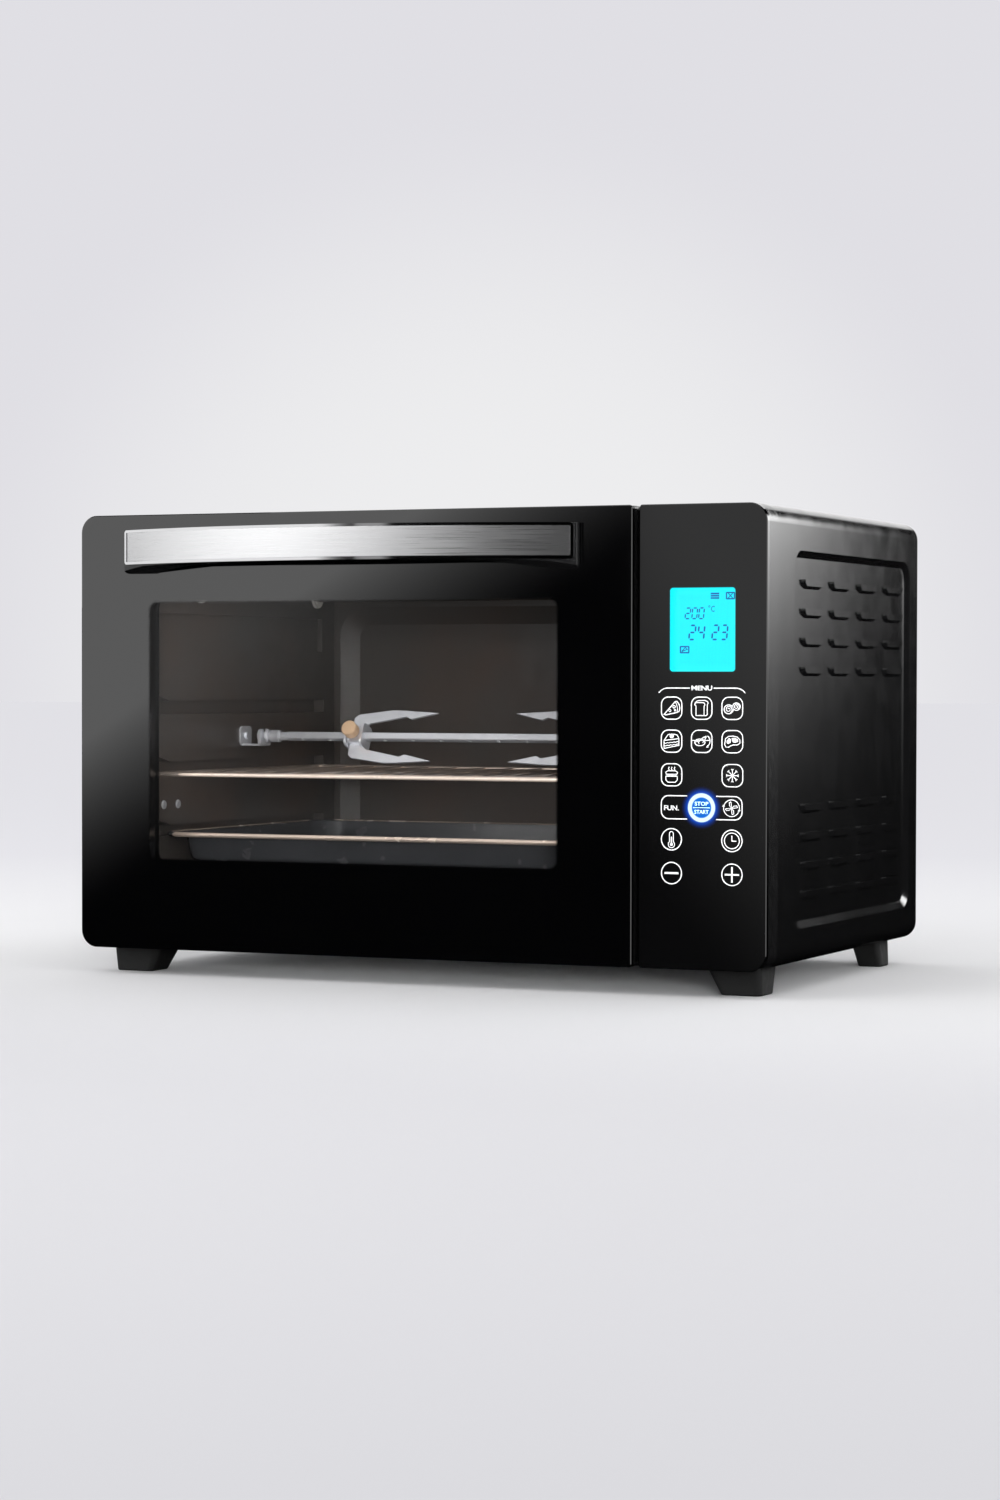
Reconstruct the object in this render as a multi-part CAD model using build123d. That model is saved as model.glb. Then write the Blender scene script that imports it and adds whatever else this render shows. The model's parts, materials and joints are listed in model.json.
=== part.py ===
from build123d import *
import os

# Countertop oven with a drop-down glass door, a touch control panel and a rotisserie.
# All parts are drawn with X to the right, Y back from the front glass, and Z up from
# the lower edge of the body. save() then moves them to the stored frame, which has its
# origin on the table, under the middle of the oven.

# ---- driving dimensions, in millimetres ----
WIDTH = 488.0
HEIGHT = 290.0
DEPTH = 317.0
FOOT_HEIGHT = 17.5
HANDLE_REACH = 45.0
GLAND_REACH = 8.0
SHEET = 1.0
CORNER = 11.5

FRONT = 21.3
GLASS = 4.0
DOOR_RIGHT = 154.5
PANEL_LEFT = 159.4
HALF = WIDTH / 2

CAVITY_X = (-200.0, 112.0)
CAVITY_Y = (22.5, 292.0)
CAVITY_Z = (17.0, 257.0)
CAVITY_MID = sum(CAVITY_X) / 2

HINGE_Y = 12.0
HINGE_Z = 9.0
HINGE_X = (-188.0, 100.0)
PIN_R = 2.5
RUNNING_GAP = 0.05

SPIT_Y = 150.0
SPIT_Z = 140.5
SPIT_TILT = -24.0
FAN_Y = 190.0
FAN_Z = 212.0

RAIL_DEPTH = 8.0
RAIL_Y = (CAVITY_Y[0], 274.0)
RAIL_UPPER = (156.5, 165.7)
RAIL_MIDDLE = (114.5, 124.3)
RAIL_LOWER = (73.6, 81.4)
FUNNEL_LENGTH = 20.0
FUNNEL_RISE = 4.8

MOVE = Pos(0, -(DEPTH + GLAND_REACH - HANDLE_REACH) / 2, FOOT_HEIGHT)


# ---- small building blocks ----
def block(x, y, z):
    """A box between the low and high values of each axis."""
    size = [span[1] - span[0] for span in (x, y, z)]
    middle = [(span[0] + span[1]) / 2 for span in (x, y, z)]
    return Pos(*middle) * Box(*size)


def rod_x(radius, x, y, z):
    """A round rod along X, between the two values of x."""
    return Pos((x[0] + x[1]) / 2, y, z) * Rot(0, 90, 0) * Cylinder(radius, x[1] - x[0])


def rod_y(radius, y, x, z):
    """A round rod along Y, between the two values of y."""
    return Pos(x, (y[0] + y[1]) / 2, z) * Rot(90, 0, 0) * Cylinder(radius, y[1] - y[0])


def rod_z(radius, z, x, y):
    """A round rod along Z, between the two values of z."""
    return Pos(x, y, (z[0] + z[1]) / 2) * Cylinder(radius, z[1] - z[0])


def plate(x, y, z, left=0.0, right=0.0):
    """An upright plate facing the front, with its left and right corners rounded."""
    body = block(x, y, z)
    for radius, place in ((left, 0), (right, -1)):
        if radius:
            corners = body.edges().filter_by(Axis.Y).group_by(Axis.X)[place]
            body = fillet(corners, radius)
    return body


def sheet_floor(x, y, z, radius):
    """A level sheet with rounded corners."""
    body = block(x, y, z)
    return fillet(body.edges().filter_by(Axis.Z), radius)


def side_prism(points, x):
    """A prism along X over an outline given as (y, z) points."""
    outline = make_face(Polyline(*points, close=True))
    return extrude(Plane.YZ.offset(x[0]) * outline, x[1] - x[0])


def slots(x_places, z_places, length, height, y):
    """Upright vent slots, to be cut from a plate that faces front or back."""
    tools = []
    for x in x_places:
        for z in z_places:
            hole = Plane.XZ.offset(-y[1]) * Pos(x, z) * SlotOverall(length, height)
            tools.append(extrude(hole, y[1] - y[0]))
    return tools


def grow(span, amount):
    return (span[0] - amount, span[1] + amount)


def mirrored(shape):
    """The same shape on the other side of the cavity."""
    return mirror(shape, Plane.YZ.offset(CAVITY_MID))


def save(name, *shapes):
    """Write a node. Loose pieces of one kind stay separate solids in it."""
    solids = [solid for shape in shapes for solid in shape.solids()]
    moved = [MOVE * solid for solid in solids]
    node = moved[0] if len(moved) == 1 else Compound(moved)
    export_step(node, f"parts/{name}.step")


# ---- outer casing ----
RECESS_Y = (51.6, 299.0)
RECESS_Z = (22.8, 262.5)
RECESS_DEPTH = 2.8
RECESS_SLOPE = 4.5
RECESS_CORNER = 14.0
SIDE_WRAP = 228.0
LOUVRE_LENGTH = 40.0
LOUVRE_HEIGHT = 6.0
LOUVRE_DEPTH = 2.4
LOUVRE_COLUMNS = [92.8 + 57.6 * column for column in range(4)]
LOUVRE_ROWS = [46.0 + 18.5 * row for row in range(4)] + [189.0 + 18.5 * row for row in range(4)]


def casing_tube(inset):
    """The full outline of the casing, set in on every side by inset."""
    x = grow((-HALF, HALF), -inset)
    z = grow((0, HEIGHT), -inset)
    radius = CORNER - inset
    return plate(x, (FRONT, DEPTH), z, radius, radius)


def recess_tool(surface, margin):
    """The pressed-in field of a side: wide at the surface, narrower at its floor."""
    size_y = RECESS_Y[1] - RECESS_Y[0] + 2 * margin
    size_z = RECESS_Z[1] - RECESS_Z[0] + 2 * margin
    middle = Pos(sum(RECESS_Y) / 2, sum(RECESS_Z) / 2)
    mouth = RectangleRounded(size_y, size_z, RECESS_CORNER)
    slope = RECESS_SLOPE
    bed = RectangleRounded(size_y - 2 * slope, size_z - 2 * slope, RECESS_CORNER - slope)
    outer = Plane.YZ.offset(surface) * middle * mouth
    inner = Plane.YZ.offset(surface - RECESS_DEPTH) * middle * bed
    return loft([outer, inner])


def louvre_form(surface, radius, depth, top):
    """Half of a raised slot with sloping flanks, below its upper edge."""
    length = LOUVRE_LENGTH - 2 * (LOUVRE_HEIGHT - radius)
    dome = extrude(Plane.YZ.offset(surface) * SlotOverall(length, 2 * radius), depth, taper=38)
    below = (-LOUVRE_HEIGHT * 2, top)
    return dome & block((surface - 5, surface + 5), (-LOUVRE_LENGTH, LOUVRE_LENGTH), below)


def side_panel():
    """The right side: rolled edges, a pressed field and rows of louvres."""
    skin = casing_tube(0) - recess_tool(HALF, 0)
    core = casing_tube(SHEET) - recess_tool(HALF - SHEET, SHEET * 0.6)
    panel = (skin - core) & block((SIDE_WRAP, HALF), (FRONT, DEPTH), (0, HEIGHT))
    floor = HALF - RECESS_DEPTH
    places = [(y, z) for y in LOUVRE_COLUMNS for z in LOUVRE_ROWS]
    dome = louvre_form(floor, LOUVRE_HEIGHT, LOUVRE_DEPTH, 0)
    hollow = louvre_form(floor, LOUVRE_HEIGHT - SHEET, LOUVRE_DEPTH - SHEET, 0.5)
    sheet_cut = louvre_form(floor - 2 * SHEET, LOUVRE_HEIGHT - SHEET, 2 * SHEET + 0.1, 0)
    panel = panel + [Pos(0, y, z) * dome for y, z in places]
    panel = panel - [Pos(0, y, z) * hollow for y, z in places]
    panel = panel - [Pos(0, y, z) * sheet_cut for y, z in places]
    tuck = (SIDE_WRAP - 12, SIDE_WRAP + 2)
    top_flange = block(tuck, (FRONT + 4, DEPTH - 6), (HEIGHT - 2 * SHEET, HEIGHT - SHEET))
    low_flange = block(tuck, (FRONT + 4, DEPTH - 6), (SHEET, 2 * SHEET))
    rear_flange = block((HALF - 14, HALF - SHEET), (DEPTH - 3, DEPTH - 2), (16, HEIGHT - 16))
    return panel + [top_flange, low_flange, rear_flange]


def top_cover():
    return block((-SIDE_WRAP, SIDE_WRAP), (FRONT, DEPTH), (HEIGHT - SHEET, HEIGHT))


FOOT_SCREW_R = 2.0
FRONT_FOOT = (214.0, 38.0)
REAR_FOOT = (223.5, 278.5)
FEET = [FRONT_FOOT, REAR_FOOT]
BOARD_X = (128.0, 216.0)
BOARD_Y = (70.0, 230.0)
BOARD_Z = 14.0


def base_plate():
    """The bottom sheet, with air slots below the electronics and feet screw holes."""
    body = block((-SIDE_WRAP, SIDE_WRAP), (FRONT, DEPTH - 2), (0, SHEET))
    for row in range(6):
        for column in range(3):
            hole = Pos(136 + 26 * column, 245 + 9 * row) * SlotOverall(20, 4)
            body -= extrude(Plane.XY.offset(-1) * hole, 4)
    screws = [(side * x, y) for x, y in FEET for side in (-1, 1)]
    return body - [rod_z(FOOT_SCREW_R, (-1, 3), x, y) for x, y in screws]


GLAND_X = 196.0
GLAND_Z = 44.0
GLAND_R = 9.0
REAR_SCREWS = [(side * 236, z) for side in (-1, 1) for z in (30, 107, 184, 260)]


def rear_panel():
    """The back sheet, with vents behind the electronics and above the cavity."""
    inset = SHEET + 0.1
    radius = CORNER - inset
    y = (DEPTH - 2, DEPTH - 1)
    body = plate(grow((-HALF, HALF), -inset), y, (inset, HEIGHT - inset), radius, radius)
    vent_rows = [90 + 11 * n for n in range(14)]
    right_vents = slots([147 + 30 * n for n in range(3)], vent_rows, 24, 4, (DEPTH - 4, DEPTH))
    top_vents = slots([-170 + 34 * n for n in range(8)], [268, 277], 26, 4, (DEPTH - 4, DEPTH))
    body = body - right_vents - top_vents
    body -= rod_y(GLAND_R, (DEPTH - 5, DEPTH + 5), GLAND_X, GLAND_Z)
    return body - [rod_y(1.6, (DEPTH - 5, DEPTH + 5), x, z) for x, z in REAR_SCREWS]


def rear_screws():
    """Pan-head screws that hold the back sheet to the side flanges."""
    screws = []
    for x, z in REAR_SCREWS:
        head = fillet(rod_y(3.4, (DEPTH - 1, DEPTH + 1.2), x, z).edges().group_by(Axis.Y)[-1], 1.1)
        cross = block((x - 2, x + 2), (DEPTH + 0.2, DEPTH + 2), (z - 0.4, z + 0.4))
        cross += block((x - 0.4, x + 0.4), (DEPTH + 0.2, DEPTH + 2), (z - 2, z + 2))
        screws.append(head + rod_y(1.6, (DEPTH - 2, DEPTH - 1), x, z) - cross)
    return screws


def cord_gland():
    """The empty cord inlet: a flanged bush through the back sheet."""
    bush = rod_y(GLAND_R, (DEPTH - 8, DEPTH + GLAND_REACH - 3), GLAND_X, GLAND_Z)
    flange = rod_y(GLAND_R + 3.5, (DEPTH - 1, DEPTH + 1.5), GLAND_X, GLAND_Z)
    nose = Rot(-90, 0, 0) * Cone(GLAND_R, GLAND_R - 2, 3)
    nose = Pos(GLAND_X, DEPTH + GLAND_REACH - 1.5, GLAND_Z) * nose
    lock = rod_y(GLAND_R + 2.5, (DEPTH - 6, DEPTH - 2), GLAND_X, GLAND_Z)
    return bush + flange + nose + lock - rod_y(4, (DEPTH - 20, DEPTH + 20), GLAND_X, GLAND_Z)


def foot(bottom, top, y_bottom, y_top):
    """A tapered moulded foot on the right side, wider where it meets the body."""
    levels = []
    for x, y, z in ((bottom, y_bottom, -FOOT_HEIGHT), (top, y_top, 0)):
        outline = RectangleRounded(x[1] - x[0], y[1] - y[0], 4)
        levels.append(Pos(sum(x) / 2, sum(y) / 2, z) * outline)
    body = loft(levels)
    return fillet(body.edges().group_by(Axis.Z)[0], 1.2)


def front_foot():
    body = foot((204.5, 231.9), (196.0, 232.4), (25.2, 50.2), (22.6, 55.0))
    x, y = FRONT_FOOT
    body -= rod_z(4.2, (-FOOT_HEIGHT - 1, -6), x, y)
    return body - rod_z(FOOT_SCREW_R, (-8, 1), x, y)


def rear_foot():
    body = foot((216.5, 234.0), (212.0, 232.4), (268.8, 288.2), (265.5, 291.5))
    x, y = REAR_FOOT
    body -= rod_z(4.2, (-FOOT_HEIGHT - 1, -6), x, y)
    return body - rod_z(FOOT_SCREW_R, (-8, 1), x, y)


def foot_screws():
    """One screw up through each foot into the base."""
    screws = []
    for x, y in FEET:
        head = rod_z(3.8, (-8.5, -6), x, y) - block((x - 2.5, x + 2.5), (y - 0.5, y + 0.5), (-9, -7.6))
        screw = head + rod_z(FOOT_SCREW_R, (-6, 0), x, y)
        screws += [screw, mirror(screw, Plane.YZ)]
    return screws


# ---- oven cavity ----
def front_frame():
    """The steel face behind the door, with the cavity mouth and hinge slots."""
    inset = SHEET + 0.1
    y = (FRONT + 0.1, CAVITY_Y[0])
    radius = CORNER - inset
    body = plate(grow((-HALF, HALF), -inset), y, (inset, HEIGHT - inset), radius, radius)
    body -= block(CAVITY_X, grow(y, 1), CAVITY_Z)
    body -= block((176, 228), grow(y, 1), (60, 240))
    for low, high in (RAIL_UPPER, RAIL_MIDDLE, RAIL_LOWER):
        body -= block(grow(CAVITY_X, RAIL_DEPTH), grow(y, 1), (low, high + FUNNEL_RISE))
    for x in HINGE_X:
        body -= block((x - 2.3, x + 2.3), grow(y, 1), (2.5, 15.5))
    return body


def rail_tool(z, margin, flare=True):
    """One shelf channel of the left wall, with a wider mouth at the front."""
    low, high = z[0] - margin, z[1] + margin
    front, back = RAIL_Y[0], RAIL_Y[1] + margin
    top = [(back, high), (front + FUNNEL_LENGTH, high), (front, high + FUNNEL_RISE)]
    if not flare:
        top = [(back, high), (front, high)]
    points = [(front, low), (back, low)] + top
    return side_prism(points, (CAVITY_X[0] - RAIL_DEPTH - margin, CAVITY_X[0] + 0.5))


def upper_field(margin):
    """The long pressed field above the shelves of the left wall."""
    points = [
        (RAIL_Y[0], 219.7 - margin),
        (57 - margin / 2, 219.7 - margin),
        (69 - margin / 2, 201 - margin),
        (272 + margin, 201 - margin),
        (272 + margin, 225.2 + margin),
        (RAIL_Y[0], 225.2 + margin),
    ]
    return side_prism(points, (CAVITY_X[0] - 4 - margin, CAVITY_X[0] + 0.5))


HEATER_R = 3.3
HEATERS = [(85.0, 241.0), (262.0, 241.0), (85.0, 36.0), (240.0, 36.0)]
BUSH_R = 6.0
SUPPORT_RIVETS = [(34.0, 95.2), (53.6, 95.2)]


def wall_blank(fields):
    """A cavity side sheet on the left, with pressed fields made by fields(margin)."""
    x = CAVITY_X[0]
    outside = block((x - SHEET, x), CAVITY_Y, CAVITY_Z)
    for tool in fields(SHEET):
        outside += tool & block((x - 20, x), CAVITY_Y, CAVITY_Z)
    for tool in fields(0):
        outside -= tool
    return outside - [rod_x(BUSH_R, (x - 5, x + 5), y, z) for y, z in HEATERS]


def left_wall():
    def fields(margin):
        rails = [rail_tool(z, margin) for z in (RAIL_UPPER, RAIL_MIDDLE, RAIL_LOWER)]
        return rails + [upper_field(margin)]

    return wall_blank(fields)


FAN_HOLE_RINGS = [(1, 0.0), (6, 9.0), (12, 18.0), (18, 27.0)]
PROBE_Y = 120.0
PROBE_Z = 236.0


def right_wall():
    """The mirrored wall, with the fan grille, the spit drive hole and the probe hole."""
    def fields(margin):
        return [rail_tool(z, margin) for z in (RAIL_UPPER, RAIL_MIDDLE, RAIL_LOWER)]

    body = mirrored(wall_blank(fields))
    x = (CAVITY_X[1] - 5, CAVITY_X[1] + 5)
    holes = []
    for count, ring in FAN_HOLE_RINGS:
        for spot in PolarLocations(ring, count):
            holes.append(rod_x(2.6, x, FAN_Y + spot.position.X, FAN_Z + spot.position.Y))
    body -= holes
    body -= rod_x(10.0, x, SPIT_Y, SPIT_Z)
    return body - rod_x(2.2, x, PROBE_Y, PROBE_Z)


def wall_rivets():
    """Rivets that fix the shelf stops of the side walls."""
    rivets = []
    for y, z in SUPPORT_RIVETS:
        head = rod_x(3.0, (CAVITY_X[0], CAVITY_X[0] + 1.2), y, z)
        head = fillet(head.edges().group_by(Axis.X)[-1], 1.0)
        rivets += [head, mirrored(head)]
    return rivets


def cavity_ceiling():
    z = CAVITY_Z[1]
    x = grow(CAVITY_X, 9)
    body = block(x, CAVITY_Y, (z, z + SHEET))
    rib = sheet_floor((-160, 72), (60, 260), (z + SHEET, z + 2.5), 16)
    hollow = sheet_floor((-159, 71), (61, 259), (z, z + 1.5), 15)
    return body + rib - hollow


def cavity_floor():
    z = CAVITY_Z[0]
    body = block(grow(CAVITY_X, 9), CAVITY_Y, (z - SHEET, z))
    rib = sheet_floor((-170, 82), (50, 265), (z - 3, z - SHEET), 18)
    hollow = sheet_floor((-169, 81), (51, 264), (z - 2, z + 0.1), 17)
    return body + rib - hollow


BACK_OUTER_X = (-195.0, 107.0)
BACK_OUTER_Z = (39.6, 234.4)
BACK_SLOPE = 13.0
BACK_DEPTH = 7.0


def back_field(y, margin):
    """The pressed field of the back wall: a wide mouth and a smaller bed behind it."""
    middle = Pos(sum(BACK_OUTER_X) / 2, sum(BACK_OUTER_Z) / 2)
    size_x = BACK_OUTER_X[1] - BACK_OUTER_X[0] + 2 * margin
    size_z = BACK_OUTER_Z[1] - BACK_OUTER_Z[0] + 2 * margin
    mouth = RectangleRounded(size_x, size_z, 22)
    bed = RectangleRounded(size_x - 2 * BACK_SLOPE, size_z - 2 * BACK_SLOPE, 10)
    near = Plane.XZ.offset(-y) * middle * mouth
    far = Plane.XZ.offset(-y - BACK_DEPTH) * middle * bed
    return loft([near, far])


def back_wall():
    """The back of the cavity, pressed to the rear so that it stays stiff."""
    y = CAVITY_Y[1]
    body = block(grow(CAVITY_X, 9), (y, y + SHEET), grow(CAVITY_Z, SHEET))
    return body + back_field(y + SHEET, 0.6) - back_field(y, 0)


def heater(y, z):
    """A tubular heating element along X, with its thin terminal pins."""
    tube = rod_x(HEATER_R, (CAVITY_X[0] - 14, CAVITY_X[1] + 14), y, z)
    pins = [rod_x(1.2, (CAVITY_X[0] - 22, CAVITY_X[0] - 13), y, z)]
    pins.append(rod_x(1.2, (CAVITY_X[1] + 13, CAVITY_X[1] + 22), y, z))
    return tube + pins


def heater_bush(y, z):
    """A stepped ceramic bush that carries one end of a heating element."""
    x = CAVITY_X[0]
    body = rod_x(BUSH_R, (x - 7, x + 3), y, z) + rod_x(BUSH_R + 2, (x, x + 2), y, z)
    return body - rod_x(HEATER_R, (x - 20, x + 20), y, z)


def heater_bushes():
    left = [heater_bush(y, z) for y, z in HEATERS]
    return left + [mirrored(bush) for bush in left]


def temperature_probe():
    """The thin capillary probe of the thermostat, held in a small collar."""
    x = CAVITY_X[1]
    stem = rod_x(2.2, (x - 46, x + 8), PROBE_Y, PROBE_Z)
    tip = Pos(x - 46, PROBE_Y, PROBE_Z) * Sphere(2.2)
    collar = rod_x(5.0, (x - 3, x), PROBE_Y, PROBE_Z)
    return stem + tip + collar


# ---- convection fan ----
FAN_R = 35.0
SHAFT_R = 3.0
FAN_CAN_X = (CAVITY_X[1] + SHEET, CAVITY_X[1] + 27.0)
MOTOR_X = (FAN_CAN_X[1], FAN_CAN_X[1] + 34.0)
COOLER_X = (MOTOR_X[1] + 4, MOTOR_X[1] + 18.0)


def fan_can():
    """The shallow can around the convection rotor, on the outside of the wall."""
    outer = rod_x(43.0, FAN_CAN_X, FAN_Y, FAN_Z)
    inner = rod_x(42.0, (FAN_CAN_X[0] - 1, FAN_CAN_X[1] - SHEET), FAN_Y, FAN_Z)
    return outer - inner - rod_x(5.0, (FAN_CAN_X[0], FAN_CAN_X[1] + 2), FAN_Y, FAN_Z)


def bladed_wheel(x, radius, blades, hub):
    """A disc with straight radial blades and a hub."""
    disc = rod_x(radius, (x[1] - 1.2, x[1]), FAN_Y, FAN_Z)
    wheel = disc + rod_x(hub, x, FAN_Y, FAN_Z)
    blade = block((x[0], x[1] - 1), (-0.6, 0.6), (hub - 1, radius - 1))
    spots = [Rot(360 / blades * n, 0, 0) for n in range(blades)]
    wheel = wheel + [Pos(0, FAN_Y, FAN_Z) * spot * blade for spot in spots]
    return wheel - rod_x(SHAFT_R, (x[0] - 5, x[1] + 5), FAN_Y, FAN_Z)


def fan_rotor():
    return bladed_wheel((FAN_CAN_X[0] + 4, FAN_CAN_X[0] + 18), FAN_R, 10, 6.0)


def cooling_fan():
    return bladed_wheel(COOLER_X, 33.0, 8, 6.0)


def fan_shaft():
    return rod_x(SHAFT_R, (FAN_CAN_X[0] + 3, COOLER_X[1] + 2), FAN_Y, FAN_Z)


def fan_motor():
    """A shaded-pole motor: a laminated block, its coil and two bearing bridges."""
    x0, x1 = MOTOR_X
    stack = block((x0 + 8, x1 - 8), grow((FAN_Y, FAN_Y), 26), grow((FAN_Z, FAN_Z), 22))
    coil = block((x0 + 3, x1 - 3), (FAN_Y - 22, FAN_Y - 10), grow((FAN_Z, FAN_Z), 24))
    core = rod_x(15.0, (x0 + 2, x1 - 2), FAN_Y + 5, FAN_Z)
    bearings = rod_x(7.0, (x0, x1), FAN_Y, FAN_Z)
    return stack + coil + core + bearings - rod_x(SHAFT_R + RUNNING_GAP, (x0 - 1, x1 + 1), FAN_Y, FAN_Z)


# ---- rotisserie ----
SPIT_SQUARE = 5.2
SPIT_END = CAVITY_X[0] + 12.0
SQUARE_START = CAVITY_X[0] + 35.0
SEAT_X = (CAVITY_X[0] + 15.0, CAVITY_X[0] + 17.0)
SOCKET_X = (CAVITY_X[1] - 7.0, CAVITY_X[1] + 6.0)
NECK_R = 3.0
FORK_HUB_X = (-116.5, -104.5)
FORK_TIP_X = -51.5
FORK_MID = -22.0
BLADE = 1.8
PRONG_TIP = 18.0
SCREW_R = 2.0

AT_SPIT = Pos(0, SPIT_Y, SPIT_Z) * Rot(SPIT_TILT, 0, 0)


def spit_support():
    """The folded bracket on the left wall: a wall ear, a strip and a notched ear."""
    x = CAVITY_X[0]
    low = SPIT_Z - 7.0
    wall_ear = block((x, x + 1.5), grow((SPIT_Y, SPIT_Y), 8), (low, SPIT_Z + 7))
    wall_ear = fillet(wall_ear.edges().filter_by(Axis.X), 4)
    strip = block((x, SEAT_X[1]), grow((SPIT_Y, SPIT_Y), 5), (low, low + 1.5))
    seat = block(SEAT_X, grow((SPIT_Y, SPIT_Y), 8), (low, SPIT_Z + 5))
    seat = fillet(seat.edges().filter_by(Axis.X), 3)
    rivet = rod_x(2.6, (x + 1.5, x + 3.2), SPIT_Y, SPIT_Z)
    notch_r = NECK_R + RUNNING_GAP
    notch = rod_x(notch_r, grow(SEAT_X, 1), SPIT_Y, SPIT_Z)
    notch += block(grow(SEAT_X, 1), grow((SPIT_Y, SPIT_Y), notch_r), (SPIT_Z, SPIT_Z + 9))
    return wall_ear + rivet + strip + seat - notch


def spit_rod():
    """The square spit with a round, grooved left end and bevelled corners."""
    across = grow((0, 0), SPIT_SQUARE / 2)
    square = block((SQUARE_START, SOCKET_X[1] - 3), across, across)
    square = chamfer(square.edges().filter_by(Axis.X), 0.6)
    neck = rod_x(NECK_R, (SPIT_END + 1, SQUARE_START), 0, 0)
    outer_collar = (SPIT_END, SEAT_X[0] - 0.8)
    inner_collar = (SEAT_X[1] + 0.8, SEAT_X[1] + 3.2)
    grooved_end = (SEAT_X[1] + 4.4, SEAT_X[1] + 12)
    rod = square + neck
    for span in (outer_collar, inner_collar, grooved_end):
        collar = rod_x(4.4, span, 0, 0)
        rod += chamfer(collar.edges().filter_by(GeomType.CIRCLE), 0.5)
    spots = [SQUARE_START + 12 + 21.5 * n for n in range(12)]
    rod = rod - [Pos(x, 0, -SPIT_SQUARE / 2) * Sphere(1.3) for x in spots]
    return AT_SPIT * rod


def drive_socket():
    """The driven cup on the right that takes the square end of the spit."""
    cup = chamfer(rod_x(9.4, SOCKET_X, 0, 0).edges().group_by(Axis.X)[0], 1.0)
    stub = rod_x(3.5, (SOCKET_X[1], SOCKET_X[1] + 10), 0, 0)
    hole = SPIT_SQUARE / 2 + 0.15
    opening = block((SOCKET_X[0] - 1, SOCKET_X[1] - 2.5), grow((0, 0), hole), grow((0, 0), hole))
    return AT_SPIT * (cup + stub - opening)


def spit_motor():
    """The flat geared motor behind the right wall, with its flange."""
    x = SOCKET_X[1] + 4
    can = rod_x(24.0, (x, x + 16), SPIT_Y, SPIT_Z)
    can = fillet(can.edges().group_by(Axis.X)[-1], 2)
    flange = block((x, x + 1.5), grow((SPIT_Y, SPIT_Y), 31), grow((SPIT_Z, SPIT_Z), 8))
    body = can + flange
    for y in (SPIT_Y - 27, SPIT_Y + 27):
        body += block((CAVITY_X[1] + SHEET, x), grow((y, y), 4), grow((SPIT_Z, SPIT_Z), 6))
    return body - rod_x(3.5 + RUNNING_GAP, (x - 1, x + 8), SPIT_Y, SPIT_Z)


def prong(side):
    """One stamped blade: up from the hub, round the bend and out to a barbed tip."""
    root = sum(FORK_HUB_X) / 2
    outline = Polyline(
        (root - 4.5, 4),
        (root - 4.5, 14.0),
        (root - 1.5, 16.4),
        (root + 24, PRONG_TIP + 1.9),
        (root + 34, PRONG_TIP + 1.6),
        (FORK_TIP_X, PRONG_TIP),
        (root + 39, PRONG_TIP - 4.6),
        (root + 35, PRONG_TIP - 2.8),
        (root + 7, 9.6),
        (root + 5.5, 4),
        close=True,
    )
    blade = extrude(Plane.XZ.offset(-BLADE / 2) * make_face(outline), BLADE)
    bend = blade.edges().filter_by(Axis.Y).sort_by_distance((root + 7, 0, 9.6))[0]
    blade = fillet(bend, 2.5)
    return blade if side > 0 else mirror(blade, Plane.XY)


def fork_at_origin():
    """The left fork: a folded clip on the square spit, with two stamped blades."""
    root = sum(FORK_HUB_X) / 2
    hub = block((FORK_HUB_X[0] + 1.5, FORK_HUB_X[1] - 1.5), (-6.2, 6.2), (-6.2, 6.2))
    hub = chamfer(hub.edges().filter_by(Axis.X), 1.2)
    for x in FORK_HUB_X:
        ear = fillet(block((x - 0.8, x + 0.8), (-7.5, 7.5), (-8.5, 8.5)).edges().filter_by(Axis.X), 4)
        hub += ear
    body = hub + prong(1) + prong(-1)
    gap = SPIT_SQUARE / 2 + 0.15
    body -= block(grow(FORK_HUB_X, 5), (-gap, gap), (-gap, gap))
    return body - rod_y(SCREW_R + RUNNING_GAP, (-20, 0), root, 0)


def screw_at_origin():
    """The thumb screw of the left fork, with a fluted brass head."""
    x = sum(FORK_HUB_X) / 2
    stem = rod_y(SCREW_R, (-16, -SPIT_SQUARE / 2 - 0.1), x, 0)
    collar = rod_y(3.6, (-9.2, -8.4), x, 0)
    head = chamfer(rod_y(5.6, (-16.5, -9.2), x, 0).edges().filter_by(GeomType.CIRCLE), 0.7)
    flute = Pos(0, -12.8, 5.9) * Rot(90, 0, 0) * Cylinder(0.6, 9)
    flutes = [Pos(x, 0, 0) * Rot(0, 20 * n, 0) * flute for n in range(18)]
    return stem + collar + (head - flutes)


def fork(side):
    """The left fork, or the right one as its mirror image."""
    body = fork_at_origin() if side < 0 else mirror(fork_at_origin(), Plane.YZ.offset(FORK_MID))
    return AT_SPIT * body


def fork_screw(side):
    body = screw_at_origin() if side < 0 else mirror(screw_at_origin(), Plane.YZ.offset(FORK_MID))
    return AT_SPIT * body


# ---- shelf and tray ----
RACK_WIRE = 1.6
RACK_ROD = 1.1
RACK_Z = RAIL_MIDDLE[0] + RACK_WIRE + 0.05
RACK_X = (CAVITY_X[0] - RAIL_DEPTH + RACK_WIRE + 0.8, CAVITY_X[1] + RAIL_DEPTH - RACK_WIRE - 0.8)
RACK_Y = (28.0, 270.0)
RACK_PITCH = 22.4


def wire_loop(x, y, z, wire, corner):
    """A closed round wire whose centre line is a rounded rectangle."""
    outline = RectangleRounded(x[1] - x[0], y[1] - y[0], corner)
    line = (Pos(sum(x) / 2, sum(y) / 2, z) * outline).wire()
    return sweep(Plane(origin=line @ 0, z_dir=line % 0) * Circle(wire), path=line)


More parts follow.
